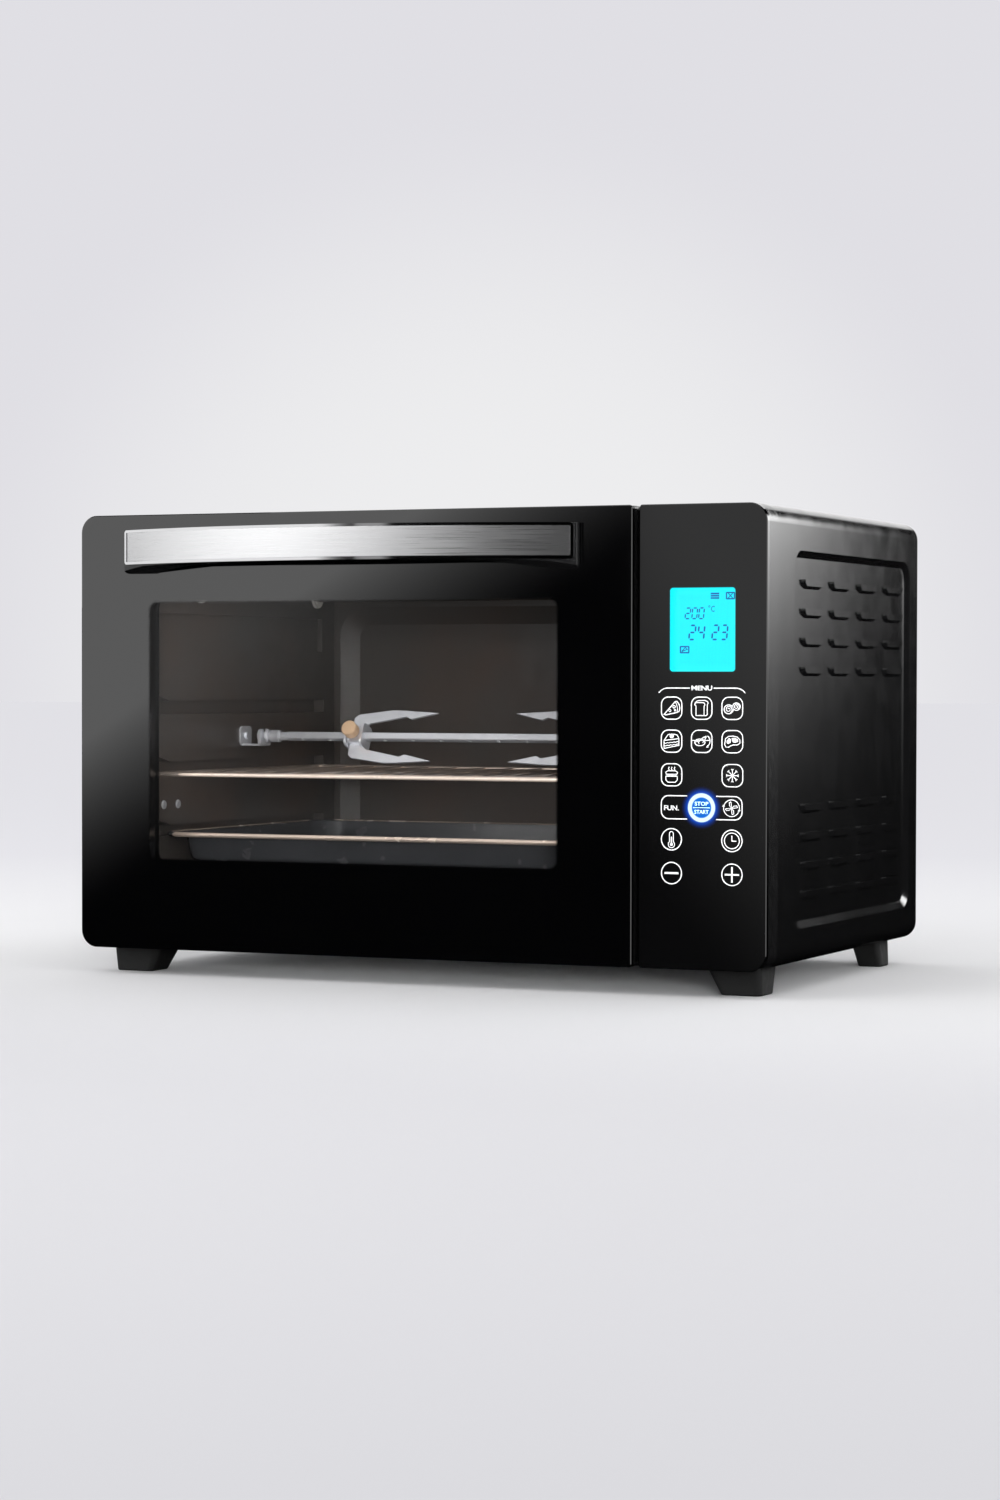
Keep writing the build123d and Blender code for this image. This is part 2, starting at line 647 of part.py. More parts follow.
def wire_rack():
    """The chromed shelf: a closed outer wire and rods from front to back."""
    frame = wire_loop(RACK_X, RACK_Y, RACK_Z, RACK_WIRE, 9)
    rods = []
    for step in range(-7, 8):
        x = CAVITY_MID + RACK_PITCH * step
        rods.append(rod_y(RACK_ROD, RACK_Y, x, RACK_Z - 0.4))
    braces = [rod_x(RACK_ROD, grow(CAVITY_X, -0.5), y, RACK_Z - 1.4) for y in (108.0, 190.0)]
    return frame + rods + braces


TRAY_X = (CAVITY_X[0] - 4.5, CAVITY_X[1] + 4.5)
TRAY_Y = (30.0, 270.0)
TRAY_TOP = 77.0
TRAY_BOTTOM = 57.0
TRAY_RIM = 10.0
TRAY_BEAD = 1.65
TRAY_CORNER = 24.0
TRAY_SHELF = TRAY_TOP - 0.6


def tray_well(inset, z):
    """The drawn well of the tray, narrower at its floor."""
    size_x = TRAY_X[1] - TRAY_X[0] - 2 * TRAY_RIM - 2 * inset
    size_y = TRAY_Y[1] - TRAY_Y[0] - 2 * TRAY_RIM - 2 * inset
    middle = Pos(CAVITY_MID, sum(TRAY_Y) / 2)
    mouth = Plane.XY.offset(z[1]) * middle * RectangleRounded(size_x, size_y, 20)
    bed = Plane.XY.offset(z[0]) * middle * RectangleRounded(size_x - 8, size_y - 8, 16)
    well = loft([bed, mouth])
    return fillet(well.edges().group_by(Axis.Z)[0], 5 - inset)


def baking_tray():
    """The enamelled tray: a well, a flat rim and a rolled outer edge."""
    x, y = grow(TRAY_X, -TRAY_BEAD), grow(TRAY_Y, -TRAY_BEAD)
    corner = TRAY_CORNER - TRAY_BEAD
    bead = wire_loop(x, y, TRAY_TOP - TRAY_BEAD, TRAY_BEAD, corner)
    rim = sheet_floor(x, y, (TRAY_SHELF - SHEET, TRAY_SHELF), corner)
    body = bead + rim + tray_well(0, (TRAY_BOTTOM, TRAY_SHELF - SHEET / 2))
    return body - tray_well(SHEET, (TRAY_BOTTOM + SHEET, TRAY_SHELF + 0.01))


# ---- door ----
DOOR_X = (-HALF, DOOR_RIGHT)
WINDOW_X = (-193.0, 104.9)
WINDOW_Z = (59.0, 233.0)
DOOR_BACK = FRONT - 0.3
INNER_GLASS_X = grow(WINDOW_X, 10)
INNER_GLASS_Z = grow(WINDOW_Z, 10)
LINER_X = grow(DOOR_X, -8)
LINER_Z = (24.0, HEIGHT - 8)
HANDLE_SCREWS_X = (CAVITY_MID - 152.0, CAVITY_MID + 152.0)
HANDLE_Z = (256.6, 279.4)
HANDLE_MID_Z = sum(HANDLE_Z) / 2
DOOR_SCREWS = [(x, z) for x in (-219.0, CAVITY_MID, 130.0) for z in (36.0, 262.0)]


def door_glass():
    """The full-size front pane, drilled for the two handle screws."""
    pane = plate(DOOR_X, (0, GLASS), (0, HEIGHT), CORNER, 2.0)
    pane = chamfer(pane.edges().group_by(Axis.Y)[0], 0.5)
    return pane - [rod_y(2.7, (-1, GLASS + 1), x, HANDLE_MID_Z) for x in HANDLE_SCREWS_X]


def door_frame():
    """The moulded frame behind the pane, hollow to save weight, solid at its hinges."""
    y = (GLASS, DOOR_BACK)
    body = plate(DOOR_X, y, (0, HEIGHT), CORNER, 2.0)
    body -= block(grow(WINDOW_X, 3), grow(y, 1), grow(WINDOW_Z, 3))
    body -= block(grow(INNER_GLASS_X, 0.2), (DOOR_BACK - 5, DOOR_BACK + 1), grow(INNER_GLASS_Z, 0.2))
    body -= block(LINER_X, (DOOR_BACK - SHEET, DOOR_BACK + 1), LINER_Z)
    pocket = block(grow(DOOR_X, -3), (GLASS - 1, DOOR_BACK - 3), (24, HEIGHT - 3))
    pocket -= block(grow(WINDOW_X, 13), (GLASS - 2, DOOR_BACK), grow(WINDOW_Z, 13))
    pocket = pocket & plate(grow(DOOR_X, -3), (GLASS - 1, DOOR_BACK), (3, HEIGHT - 3), CORNER - 3, 2.0)
    body -= pocket
    lower_edge = block(grow(DOOR_X, 1), (HINGE_Y, FRONT + 1), (-1, HINGE_Z))
    lower_edge -= rod_x(FRONT - 0.3 - HINGE_Y, grow(DOOR_X, 2), HINGE_Y, HINGE_Z)
    body -= lower_edge
    for x in HINGE_X:
        body -= block((x - 6, x + 6), (HINGE_Y - 4.6, FRONT + 1), (-1, HINGE_Z + 4.6))
        body -= rod_x(PIN_R, (x - 16, x + 16), HINGE_Y, HINGE_Z)
    return body - [rod_y(1.5, (DOOR_BACK - 3, DOOR_BACK), x, z) for x, z in DOOR_SCREWS]


def door_inner_glass():
    return block(INNER_GLASS_X, (DOOR_BACK - 5, DOOR_BACK - SHEET), INNER_GLASS_Z)


def door_liner():
    """The steel sheet that closes the inside of the door around the window."""
    body = plate(LINER_X, (DOOR_BACK - SHEET, DOOR_BACK), LINER_Z, 6, 2)
    body -= plate(grow(WINDOW_X, 3), (DOOR_BACK - 3, DOOR_BACK + 2), grow(WINDOW_Z, 3), 8, 8)
    return body - [rod_y(1.5, (DOOR_BACK - 3, DOOR_BACK + 2), x, z) for x, z in DOOR_SCREWS]


def door_screws():
    """Low-head screws through the liner, clear of the oven's face."""
    return [rod_y(1.5, (DOOR_BACK - 3, DOOR_BACK + 0.2), x, z) for x, z in DOOR_SCREWS]


def hinge_pins():
    """One pin for each hinge, held at both ends by the door frame."""
    return [rod_x(PIN_R, (x - 16, x + 16), HINGE_Y, HINGE_Z) for x in HINGE_X]


def hinge_bracket(x):
    """A steel eye that reaches forward through the oven's face, with a flange behind."""
    thick = (x - 2, x + 2)
    eye = rod_x(4.2, thick, HINGE_Y, HINGE_Z)
    arm = block(thick, (HINGE_Y, CAVITY_Y[0]), (HINGE_Z - 3, HINGE_Z + 3))
    flange = block((x - 11, x + 11), (CAVITY_Y[0], CAVITY_Y[0] + 2), (2.2, 15.5))
    return eye + arm + flange - rod_x(PIN_R + RUNNING_GAP, grow(thick, 1), HINGE_Y, HINGE_Z)


# ---- handle ----
HANDLE_END = 162.0
HANDLE_END_Y = -8.0
TRIM = 1.6
TRIM_RIM = 1.8
TRIM_STEP = 0.5
TRIM_CORNER = 2.0
BOW = HANDLE_REACH + HANDLE_END_Y
BOW_R = (HANDLE_END ** 2 + BOW ** 2) / (2 * BOW)
BOW_CENTRE_Y = -HANDLE_REACH + BOW_R
HANDLE_LIP_Z = 250.6
GRIP_WALL = 13.0
GRIP_ROOF = 4.0
GRIP_END = 21.0
GRIP_LIP = 2.0


def bow(radius_inset, z):
    """A disc segment whose front is the bow of the handle, set back by radius_inset."""
    disc = rod_z(BOW_R - radius_inset, z, CAVITY_MID, BOW_CENTRE_Y)
    return disc & block(grow((CAVITY_MID, CAVITY_MID), 220), (-80, 0), grow(z, 1))


def handle_grip():
    """The moulded grip: a bowed bar with a sloping underside and a finger pocket."""
    z = (HANDLE_LIP_Z, HANDLE_Z[1])
    body = bow(TRIM, z) & block(grow((CAVITY_MID, CAVITY_MID), HANDLE_END + GRIP_LIP), (-80, 0), z)
    slope_points = [(-80, HANDLE_LIP_Z - 5), (-80, 268), (-HANDLE_REACH - 5, HANDLE_Z[0] + 1.2)]
    slope_points += [(-14, HANDLE_Z[0] - 1.2), (0.1, HANDLE_LIP_Z), (0.1, HANDLE_LIP_Z - 5)]
    body -= side_prism(slope_points, grow((CAVITY_MID, CAVITY_MID), 240))
    pocket = bow(TRIM + GRIP_WALL, (HANDLE_LIP_Z - 5, HANDLE_Z[1] - GRIP_ROOF))
    pocket_x = grow((CAVITY_MID, CAVITY_MID), HANDLE_END - GRIP_END)
    body -= pocket & block(pocket_x, (-80, 0), (240, HANDLE_Z[1]))
    ends = body.edges().filter_by(Axis.Z).group_by(Axis.X)
    body = fillet(ends[0] + ends[-1], 2.5)
    return body - [rod_y(2.5, (-10, 0.1), x, HANDLE_MID_Z) for x in HANDLE_SCREWS_X]


def handle_trim():
    """The bowed steel strip on the front of the grip, with a raised rim."""
    middle = (CAVITY_MID, CAVITY_MID)
    strip = bow(0, HANDLE_Z) - bow(TRIM, grow(HANDLE_Z, 2))
    strip = strip & block(grow(middle, HANDLE_END), (-80, 0), HANDLE_Z)
    strip = fillet(strip.edges().filter_by(Axis.Y), TRIM_CORNER)
    field = block(grow(middle, HANDLE_END - TRIM_RIM), (-80, 0), grow(HANDLE_Z, -TRIM_RIM))
    field -= bow(TRIM_STEP, grow(HANDLE_Z, 2))
    return strip - field


def handle_screws():
    """The two screws that hold the grip from behind the front pane."""
    screws = []
    for x in HANDLE_SCREWS_X:
        stem = rod_y(2.5, (-10, GLASS), x, HANDLE_MID_Z)
        screws.append(stem + rod_y(5.0, (GLASS, GLASS + 3), x, HANDLE_MID_Z))
    return screws


# ---- control panel ----
PANEL_X = (PANEL_LEFT, HALF)
DISPLAY_X = (179.8, 223.4)
DISPLAY_Z = (185.4, 238.0)
RING_X = 201.3
RING_Z = 101.1


def panel_glass():
    pane = plate(PANEL_X, (0, GLASS), (0, HEIGHT), 2.0, CORNER)
    return chamfer(pane.edges().group_by(Axis.Y)[0], 0.5)


def panel_housing():
    """The moulded box behind the touch glass, open towards the electronics."""
    body = plate(PANEL_X, (GLASS, FRONT), (0, HEIGHT), 2.0, CORNER)
    body -= plate(grow(PANEL_X, -3), (GLASS - 1, FRONT - 3), (3, HEIGHT - 3), 1.0, CORNER - 3)
    body -= block((178, 226), (FRONT - 5, FRONT + 1), (64, 236))
    posts = [(166, 42), (166, 262), (237, 42), (237, 262)]
    return body + [rod_y(3.0, (12.4, FRONT - 3), x, z) for x, z in posts]


def display_module():
    body = block(grow(DISPLAY_X, 2.5), (GLASS, GLASS + 4), grow(DISPLAY_Z, 3))
    return chamfer(body.edges().filter_by(Axis.Y), 1)


def start_ring():
    """The light guide around the start key."""
    ring = rod_y(8.9, (GLASS, GLASS + 5), RING_X, RING_Z)
    return ring - rod_y(6.6, (GLASS - 1, GLASS + 6), RING_X, RING_Z)


def touch_board():
    """The touch and display board behind the glass, with its chips."""
    board = block((163, 240), (10.8, 12.4), (38, 266))
    chips = []
    for n in range(4):
        chips.append(block((190 + 3 * n, 204 + 3 * n), (12.4, 14.2), (70 + 42 * n, 84 + 42 * n)))
    foam = block((184, 219), (GLASS + 4.1, 10.8), (190, 232))
    return board + chips + foam


def power_board():
    return block(BOARD_X, BOARD_Y, (BOARD_Z, BOARD_Z + 1.6))


def board_posts():
    corners = [(x, y) for x in grow(BOARD_X, -6) for y in grow(BOARD_Y, -6)]
    return [rod_z(3.0, (SHEET, BOARD_Z), x, y) for x, y in corners]


def power_parts():
    """Relays, transformer, capacitor and terminal block on the power board."""
    z = BOARD_Z + 1.6
    relays = [block((136, 151), (84 + 26 * n, 104 + 26 * n), (z, z + 19)) for n in range(3)]
    transformer = block((166, 200), (90, 124), (z, z + 28)) + block((160, 206), (94, 120), (z, z + 20))
    capacitor = rod_z(8.0, (z, z + 22), 178, 150)
    terminals = [block((150 + 12 * n, 160 + 12 * n), (208, 222), (z, z + 12)) for n in range(4)]
    return relays + [transformer, capacitor] + terminals


def insulation_top():
    """A thin fibre mat on the cavity ceiling."""
    return block((-190, 105), (40, 285), (CAVITY_Z[1] + 2.6, HEIGHT - 12))


def main():
    os.makedirs("parts", exist_ok=True)
    right_side = side_panel()
    save("side_panel_right", right_side)
    save("side_panel_left", mirror(right_side, Plane.YZ))
    save("top_cover", top_cover())
    save("base_plate", base_plate())
    save("rear_panel", rear_panel())
    save("rear_screws", *rear_screws())
    save("cord_gland", cord_gland())
    save("front_feet", front_foot(), mirror(front_foot(), Plane.YZ))
    save("rear_feet", rear_foot(), mirror(rear_foot(), Plane.YZ))
    save("foot_screws", *foot_screws())

    save("front_frame", front_frame())
    save("cavity_wall_left", left_wall())
    save("cavity_wall_right", right_wall())
    save("wall_rivets", *wall_rivets())
    save("cavity_ceiling", cavity_ceiling())
    save("cavity_floor", cavity_floor())
    save("cavity_back", back_wall())
    for name, place in zip(("upper_front", "upper_rear", "lower_front", "lower_rear"), HEATERS):
        save(f"heater_{name}", heater(*place))
    save("heater_bushes", *heater_bushes())
    save("temperature_probe", temperature_probe())
    save("insulation_top", insulation_top())

    save("fan_can", fan_can())
    save("fan_rotor", fan_rotor())
    save("cooling_fan", cooling_fan())
    save("fan_shaft", fan_shaft())
    save("fan_motor", fan_motor())

    save("spit_support", spit_support())
    save("spit_rod", spit_rod())
    save("drive_socket", drive_socket())
    save("spit_motor", spit_motor())
    for name, side in (("left", -1), ("right", 1)):
        save(f"fork_{name}", fork(side))
        save(f"fork_screw_{name}", fork_screw(side))
    save("wire_rack", wire_rack())
    save("baking_tray", baking_tray())

    save("door_glass", door_glass())
    save("door_frame", door_frame())
    save("door_inner_glass", door_inner_glass())
    save("door_liner", door_liner())
    save("door_screws", *door_screws())
    save("hinge_pins", *hinge_pins())
    save("hinge_brackets", *[hinge_bracket(x) for x in HINGE_X])
    save("handle_grip", handle_grip())
    save("handle_trim", handle_trim())
    save("handle_screws", *handle_screws())

    save("panel_glass", panel_glass())
    save("panel_housing", panel_housing())
    save("display_module", display_module())
    save("start_ring", start_ring())
    save("touch_board", touch_board())
    save("power_board", power_board())
    save("board_posts", *board_posts())
    save("power_parts", *power_parts())


if __name__ == "__main__":
    main()
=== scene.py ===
import json
import math

import bmesh
import bpy
from mathutils import Matrix, Vector


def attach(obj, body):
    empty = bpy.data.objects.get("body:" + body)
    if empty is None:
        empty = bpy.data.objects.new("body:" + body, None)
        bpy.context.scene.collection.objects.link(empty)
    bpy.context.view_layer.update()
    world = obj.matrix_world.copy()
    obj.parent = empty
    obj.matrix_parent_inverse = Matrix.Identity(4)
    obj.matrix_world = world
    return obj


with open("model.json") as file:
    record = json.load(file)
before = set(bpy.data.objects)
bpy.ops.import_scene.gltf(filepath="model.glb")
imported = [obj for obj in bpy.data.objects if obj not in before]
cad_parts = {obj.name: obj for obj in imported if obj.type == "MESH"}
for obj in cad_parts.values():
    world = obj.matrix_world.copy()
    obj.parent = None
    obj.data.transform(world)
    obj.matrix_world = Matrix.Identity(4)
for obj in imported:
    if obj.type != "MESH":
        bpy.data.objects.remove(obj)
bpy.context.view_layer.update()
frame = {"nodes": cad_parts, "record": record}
NODES = frame["nodes"]

MM = 0.001
# Drawn places are in millimetres from the front glass and the body's lower edge.
FRONT_Y = -0.140
BASE_Z = 0.0175


# ---- node graphs ----
class Graph:
    """A material whose nodes are made and linked by short calls."""

    def __init__(self, name):
        self.material = bpy.data.materials.new(name)
        self.material.use_nodes = True
        self.tree = self.material.node_tree
        self.tree.nodes.clear()
        self.output = self.tree.nodes.new("ShaderNodeOutputMaterial")
        self.shader = self.tree.nodes.new("ShaderNodeBsdfPrincipled")
        self.tree.links.new(self.shader.outputs[0], self.output.inputs["Surface"])
        self.place = self.tree.nodes.new("ShaderNodeTexCoord").outputs["Object"]
        self.heights = []

    def feed(self, socket, value):
        if isinstance(value, bpy.types.NodeSocket):
            self.tree.links.new(value, socket)
        else:
            socket.default_value = value

    def set(self, **values):
        for name, value in values.items():
            self.feed(self.shader.inputs[name.replace("_", " ")], value)

    def math(self, operation, first, second=0.0, clamp=False):
        node = self.tree.nodes.new("ShaderNodeMath")
        node.operation = operation
        node.use_clamp = clamp
        self.feed(node.inputs[0], first)
        self.feed(node.inputs[1], second)
        return node.outputs[0]

    def ramp(self, value, low, high, to_low=0.0, to_high=1.0, smooth=False):
        node = self.tree.nodes.new("ShaderNodeMapRange")
        node.interpolation_type = "SMOOTHSTEP" if smooth else "LINEAR"
        for socket, number in zip(node.inputs[:5], (value, low, high, to_low, to_high)):
            self.feed(socket, number)
        return node.outputs[0]

    def mix(self, factor, first, second):
        node = self.tree.nodes.new("ShaderNodeMix")
        node.data_type = "RGBA"
        self.feed(node.inputs[0], factor)
        self.feed(node.inputs[6], first)
        self.feed(node.inputs[7], second)
        return node.outputs[2]

    def stretched(self, stretch):
        node = self.tree.nodes.new("ShaderNodeMapping")
        node.inputs["Scale"].default_value = stretch
        self.tree.links.new(self.place, node.inputs["Vector"])
        return node.outputs[0]

    def noise(self, scale, detail=3.0, stretch=None):
        node = self.tree.nodes.new("ShaderNodeTexNoise")
        node.inputs["Scale"].default_value = scale
        node.inputs["Detail"].default_value = detail
        self.feed(node.inputs["Vector"], self.place if stretch is None else self.stretched(stretch))
        return node.outputs[0]

    def axes(self):
        node = self.tree.nodes.new("ShaderNodeSeparateXYZ")
        self.tree.links.new(self.place, node.inputs[0])
        return node.outputs

    def length(self, x, z):
        node = self.tree.nodes.new("ShaderNodeCombineXYZ")
        self.feed(node.inputs[0], x)
        self.feed(node.inputs[1], z)
        size = self.tree.nodes.new("ShaderNodeVectorMath")
        size.operation = "LENGTH"
        self.tree.links.new(node.outputs[0], size.inputs[0])
        return size.outputs["Value"]

    def outside(self, x, z, radius):
        """Distance outside a rounded rectangle on the front, below zero inside it."""
        place = self.axes()
        parts = []
        for socket, span, base in ((place[0], x, 0.0), (place[2], z, BASE_Z)):
            middle = (span[0] + span[1]) / 2 * MM + base
            reach = ((span[1] - span[0]) / 2 - radius) * MM
            offset = self.math("ABSOLUTE", self.math("SUBTRACT", socket, middle))
            parts.append(self.math("SUBTRACT", offset, reach))
        corner = self.length(*[self.math("MAXIMUM", part, 0.0) for part in parts])
        inner = self.math("MINIMUM", self.math("MAXIMUM", *parts), 0.0)
        return self.math("SUBTRACT", self.math("ADD", corner, inner), radius * MM)

    def distance_to(self, x, z):
        place = self.axes()
        return self.length(
            self.math("SUBTRACT", place[0], x * MM),
            self.math("SUBTRACT", place[2], z * MM + BASE_Z),
        )

    def bump(self, height, distance, strength=0.3):
        node = self.tree.nodes.new("ShaderNodeBump")
        node.inputs["Strength"].default_value = strength
        node.inputs["Distance"].default_value = distance
        self.feed(node.inputs["Height"], height)
        if self.heights:
            self.tree.links.new(self.heights[-1], node.inputs["Normal"])
        self.heights.append(node.outputs[0])
        self.set(Normal=node.outputs[0])


def rgb(red, green, blue):
    return (red, green, blue, 1.0)


def shade(colour, factor):
    return rgb(*[min(1.0, channel * factor) for channel in colour[:3]])


def painted(name, colour, rough, peel=0.00006, speck=2600.0, spread=0.06, vary=0.18):
    """Paint or enamel: slight colour drift, uneven gloss and a fine orange peel."""
    g = Graph(name)
    drift = g.noise(14.0, 4.0)
    g.set(Base_Color=g.mix(drift, shade(colour, 1 - vary), shade(colour, 1 + vary)))
    g.set(Roughness=g.ramp(g.noise(60.0, 5.0), 0.3, 0.7, rough - spread, rough + spread))
    g.bump(g.noise(speck, 2.0), peel)
    return g


def metal(name, colour, rough, stretch=None, scale=500.0, spread=0.06, depth=0.00002):
    """Bare or plated metal, with grain along the direction it was worked."""
    g = Graph(name)
    g.set(Metallic=1.0)
    grain = g.noise(scale, 6.0, stretch)
    g.set(Base_Color=g.mix(grain, shade(colour, 0.88), shade(colour, 1.06)))
    g.set(Roughness=g.ramp(grain, 0.25, 0.75, rough - spread, rough + spread))
    g.bump(g.noise(scale * 1.7, 3.0, stretch), depth, 0.2)
    return g


def moulded(name, colour, rough, texture=900.0, depth=0.00008):
    """Moulded plastic or rubber with a fine spark-eroded texture."""
    g = Graph(name)
    g.set(Base_Color=g.mix(g.noise(25.0, 3.0), shade(colour, 0.85), shade(colour, 1.2)))
    g.set(Roughness=g.ramp(g.noise(160.0, 4.0), 0.3, 0.7, rough - 0.07, rough + 0.07))
    g.bump(g.noise(texture, 4.0), depth, 0.5)
    return g


# ---- glass ----
WINDOW_X, WINDOW_Z, WINDOW_R = (-193.0, 104.9), (59.0, 233.0), 7.0
DISPLAY_X, DISPLAY_Z, DISPLAY_R = (179.8, 223.4), (185.4, 238.0), 2.2
RING_X, RING_Z = 201.3, 101.1
RING_OUTER, RING_INNER = 8.9, 6.5
PRINT_BLACK = rgb(0.0005, 0.0005, 0.0006)


def printed_glass(name, clear_x, clear_z, radius, feather, tint):
    """Polished glass printed black, with a clear part whose printed edge fades out."""
    g = Graph(name)
    smear = g.noise(9.0, 5.0, (1.0, 1.0, 2.2))
    g.set(Base_Color=g.mix(smear, PRINT_BLACK, shade(PRINT_BLACK, 1.6)))
    g.set(Roughness=g.ramp(smear, 0.35, 0.75, 0.012, 0.05))
    g.set(IOR=1.9)
    outside = g.outside(clear_x, clear_z, radius)
    behind = g.math("MULTIPLY", g.math("SUBTRACT", g.axes()[1], FRONT_Y), 0.6)
    edge = g.math("SUBTRACT", outside, behind)
    g.set(Alpha=g.ramp(edge, -feather * MM, 0.0, tint, 1.0, smooth=True))
    return g


def door_glass():
    return printed_glass("door_print", WINDOW_X, WINDOW_Z, WINDOW_R, 2.6, 0.12).material


def panel_glass():
    """The touch glass, lit from behind around the start key."""
    g = printed_glass("panel_print", DISPLAY_X, DISPLAY_Z, DISPLAY_R, 0.5, 0.03)
    away = g.distance_to(RING_X, RING_Z)
    lit_ring = g.math(
        "MULTIPLY",
        g.ramp(away, (RING_INNER - 0.5) * MM, (RING_INNER + 0.3) * MM, smooth=True),
        g.ramp(away, (RING_OUTER - 0.3) * MM, (RING_OUTER + 0.6) * MM, 1.0, 0.0, smooth=True),
    )
    halo = g.ramp(away, RING_OUTER * MM, (RING_OUTER + 5.0) * MM, 1.0, 0.0)
    halo = g.math("POWER", halo, 2.4)
    core = g.ramp(away, 0.0, RING_INNER * MM, 0.32, 0.85)
    inside = g.math("LESS_THAN", away, RING_OUTER * MM)
    outer = g.math("GREATER_THAN", away, RING_OUTER * MM)
    spill = g.math("MULTIPLY", g.math("MULTIPLY", halo, 0.7), outer)
    soft = g.math("ADD", g.math("MULTIPLY", core, inside), spill)
    blue = g.mix(inside, rgb(0.0, 0.12, 1.0), rgb(0.0, 0.22, 1.0))
    g.set(Emission_Color=g.mix(lit_ring, blue, rgb(0.72, 0.97, 1.0)))
    g.set(Emission_Strength=g.math("MAXIMUM", soft, g.math("MULTIPLY", lit_ring, 1.25)))
    return g.material


def clear_glass():
    g = Graph("clear_glass")
    smear = g.noise(12.0, 5.0)
    g.set(Base_Color=rgb(0.01, 0.01, 0.01))
    g.set(Roughness=g.ramp(smear, 0.35, 0.75, 0.02, 0.07))
    g.set(Alpha=g.ramp(smear, 0.3, 0.7, 0.05, 0.075))
    return g.material


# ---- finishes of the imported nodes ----
def body_paint():
    g = painted("body_paint", rgb(0.0042, 0.0042, 0.0044), 0.16, 0.00001, 900.0, 0.03)
    g.set(Specular_IOR_Level=0.5)
    return g.material


def cavity_enamel():
    """Grey enamel, browner where heat and pressing have thinned it."""
    g = painted("cavity_enamel", rgb(0.058, 0.053, 0.049), 0.36, 0.0001, 900.0, 0.08)
    worn = g.ramp(g.noise(9.0, 6.0), 0.42, 0.68)
    base = g.shader.inputs["Base Color"].links[0].from_socket
    g.set(Base_Color=g.mix(worn, base, rgb(0.072, 0.052, 0.042)))
    return g.material


HANDLE_MID_X, HANDLE_HALF, HANDLE_Z = -44.0, 162.0, (256.6, 279.4)
TRIM_RIM = 1.9


def brushed_trim():
    """Steel brushed along its length inside a polished rim."""
    g = Graph("brushed_trim")
    g.set(Metallic=1.0)
    grain = g.noise(1.0, 8.0, (18.0, 60.0, 5200.0))
    long_x = (HANDLE_MID_X - HANDLE_HALF + TRIM_RIM, HANDLE_MID_X + HANDLE_HALF - TRIM_RIM)
    tall_z = (HANDLE_Z[0] + TRIM_RIM, HANDLE_Z[1] - TRIM_RIM)
    rim = g.ramp(g.outside(long_x, tall_z, 1.0), -0.15 * MM, 0.1 * MM)
    g.set(Base_Color=g.mix(grain, rgb(0.62, 0.62, 0.63), rgb(0.82, 0.82, 0.83)))
    brushed = g.ramp(grain, 0.3, 0.7, 0.24, 0.40)
    polish = g.math("MULTIPLY", g.math("SUBTRACT", 1.0, rim), brushed)
    g.set(Roughness=g.math("ADD", polish, g.math("MULTIPLY", rim, 0.07)))
    g.bump(g.math("MULTIPLY", grain, g.math("SUBTRACT", 1.0, rim)), 0.00006, 0.35)
    return g.material


# Where the tray's lighter coppery rim begins and is full, from the tray's middle, in metres.
TRAY_MID_Y = 0.010
TRAY_RIM_X = (0.1566, 0.1572)
TRAY_RIM_Y = (0.1163, 0.1169)


def tray_enamel():
    """Dark enamel over steel, with a half-metallic coppery rolled rim whose light tone is partly a
    painted highlight.
    """
    g = painted("tray_enamel", rgb(0.052, 0.054, 0.058), 0.24, 0.00006, 1400.0, 0.05)
    place = g.axes()
    reach_x = g.math("ABSOLUTE", g.math("SUBTRACT", place[0], HANDLE_MID_X * MM))
    side = g.ramp(reach_x, *TRAY_RIM_X)
    reach_y = g.math("ABSOLUTE", g.math("SUBTRACT", place[1], TRAY_MID_Y))
    ends = g.ramp(reach_y, *TRAY_RIM_Y)
    rolled = g.math("MAXIMUM", side, ends)
    base = g.shader.inputs["Base Color"].links[0].from_socket
    # painted highlight: the rolled rim is coloured a light coppery metal
    g.set(Base_Color=g.mix(rolled, base, rgb(0.74, 0.60, 0.50)))
    g.set(Metallic=g.math("MULTIPLY", rolled, 0.5))
    return g.material


def chromed_wire():
    g = metal("chromed_wire", rgb(0.86, 0.72, 0.62), 0.16, None, 240.0)
    g.set(Metallic=0.8)
    return g.material


def spit_steel():
    g = metal("spit_steel", rgb(0.86, 0.87, 0.91), 0.22, None, 160.0, 0.05)
    g.set(Metallic=0.6)
    return g.material


def screw_brass():
    g = metal("screw_brass", rgb(0.88, 0.60, 0.38), 0.2, None, 300.0)
    g.set(Metallic=0.5)
    return g.material


def zinc_steel():
    g = metal("zinc_steel", rgb(0.42, 0.43, 0.45), 0.34, None, 90.0, 0.1)
    g.set(Metallic=0.6)
    spangle = g.tree.nodes.new("ShaderNodeTexVoronoi")
    spangle.inputs["Scale"].default_value = 180.0
    g.tree.links.new(g.place, spangle.inputs["Vector"])
    g.set(Base_Color=g.mix(spangle.outputs["Distance"], rgb(0.66, 0.67, 0.69), rgb(0.50, 0.51, 0.53)))
    return g.material


def heater_sheath():
    return metal("heater_sheath", rgb(0.17, 0.15, 0.14), 0.42, None, 260.0, 0.08).material


def ceramic():
    return painted("ceramic_white", rgb(0.72, 0.70, 0.66), 0.55, 0.0001, 700.0).material


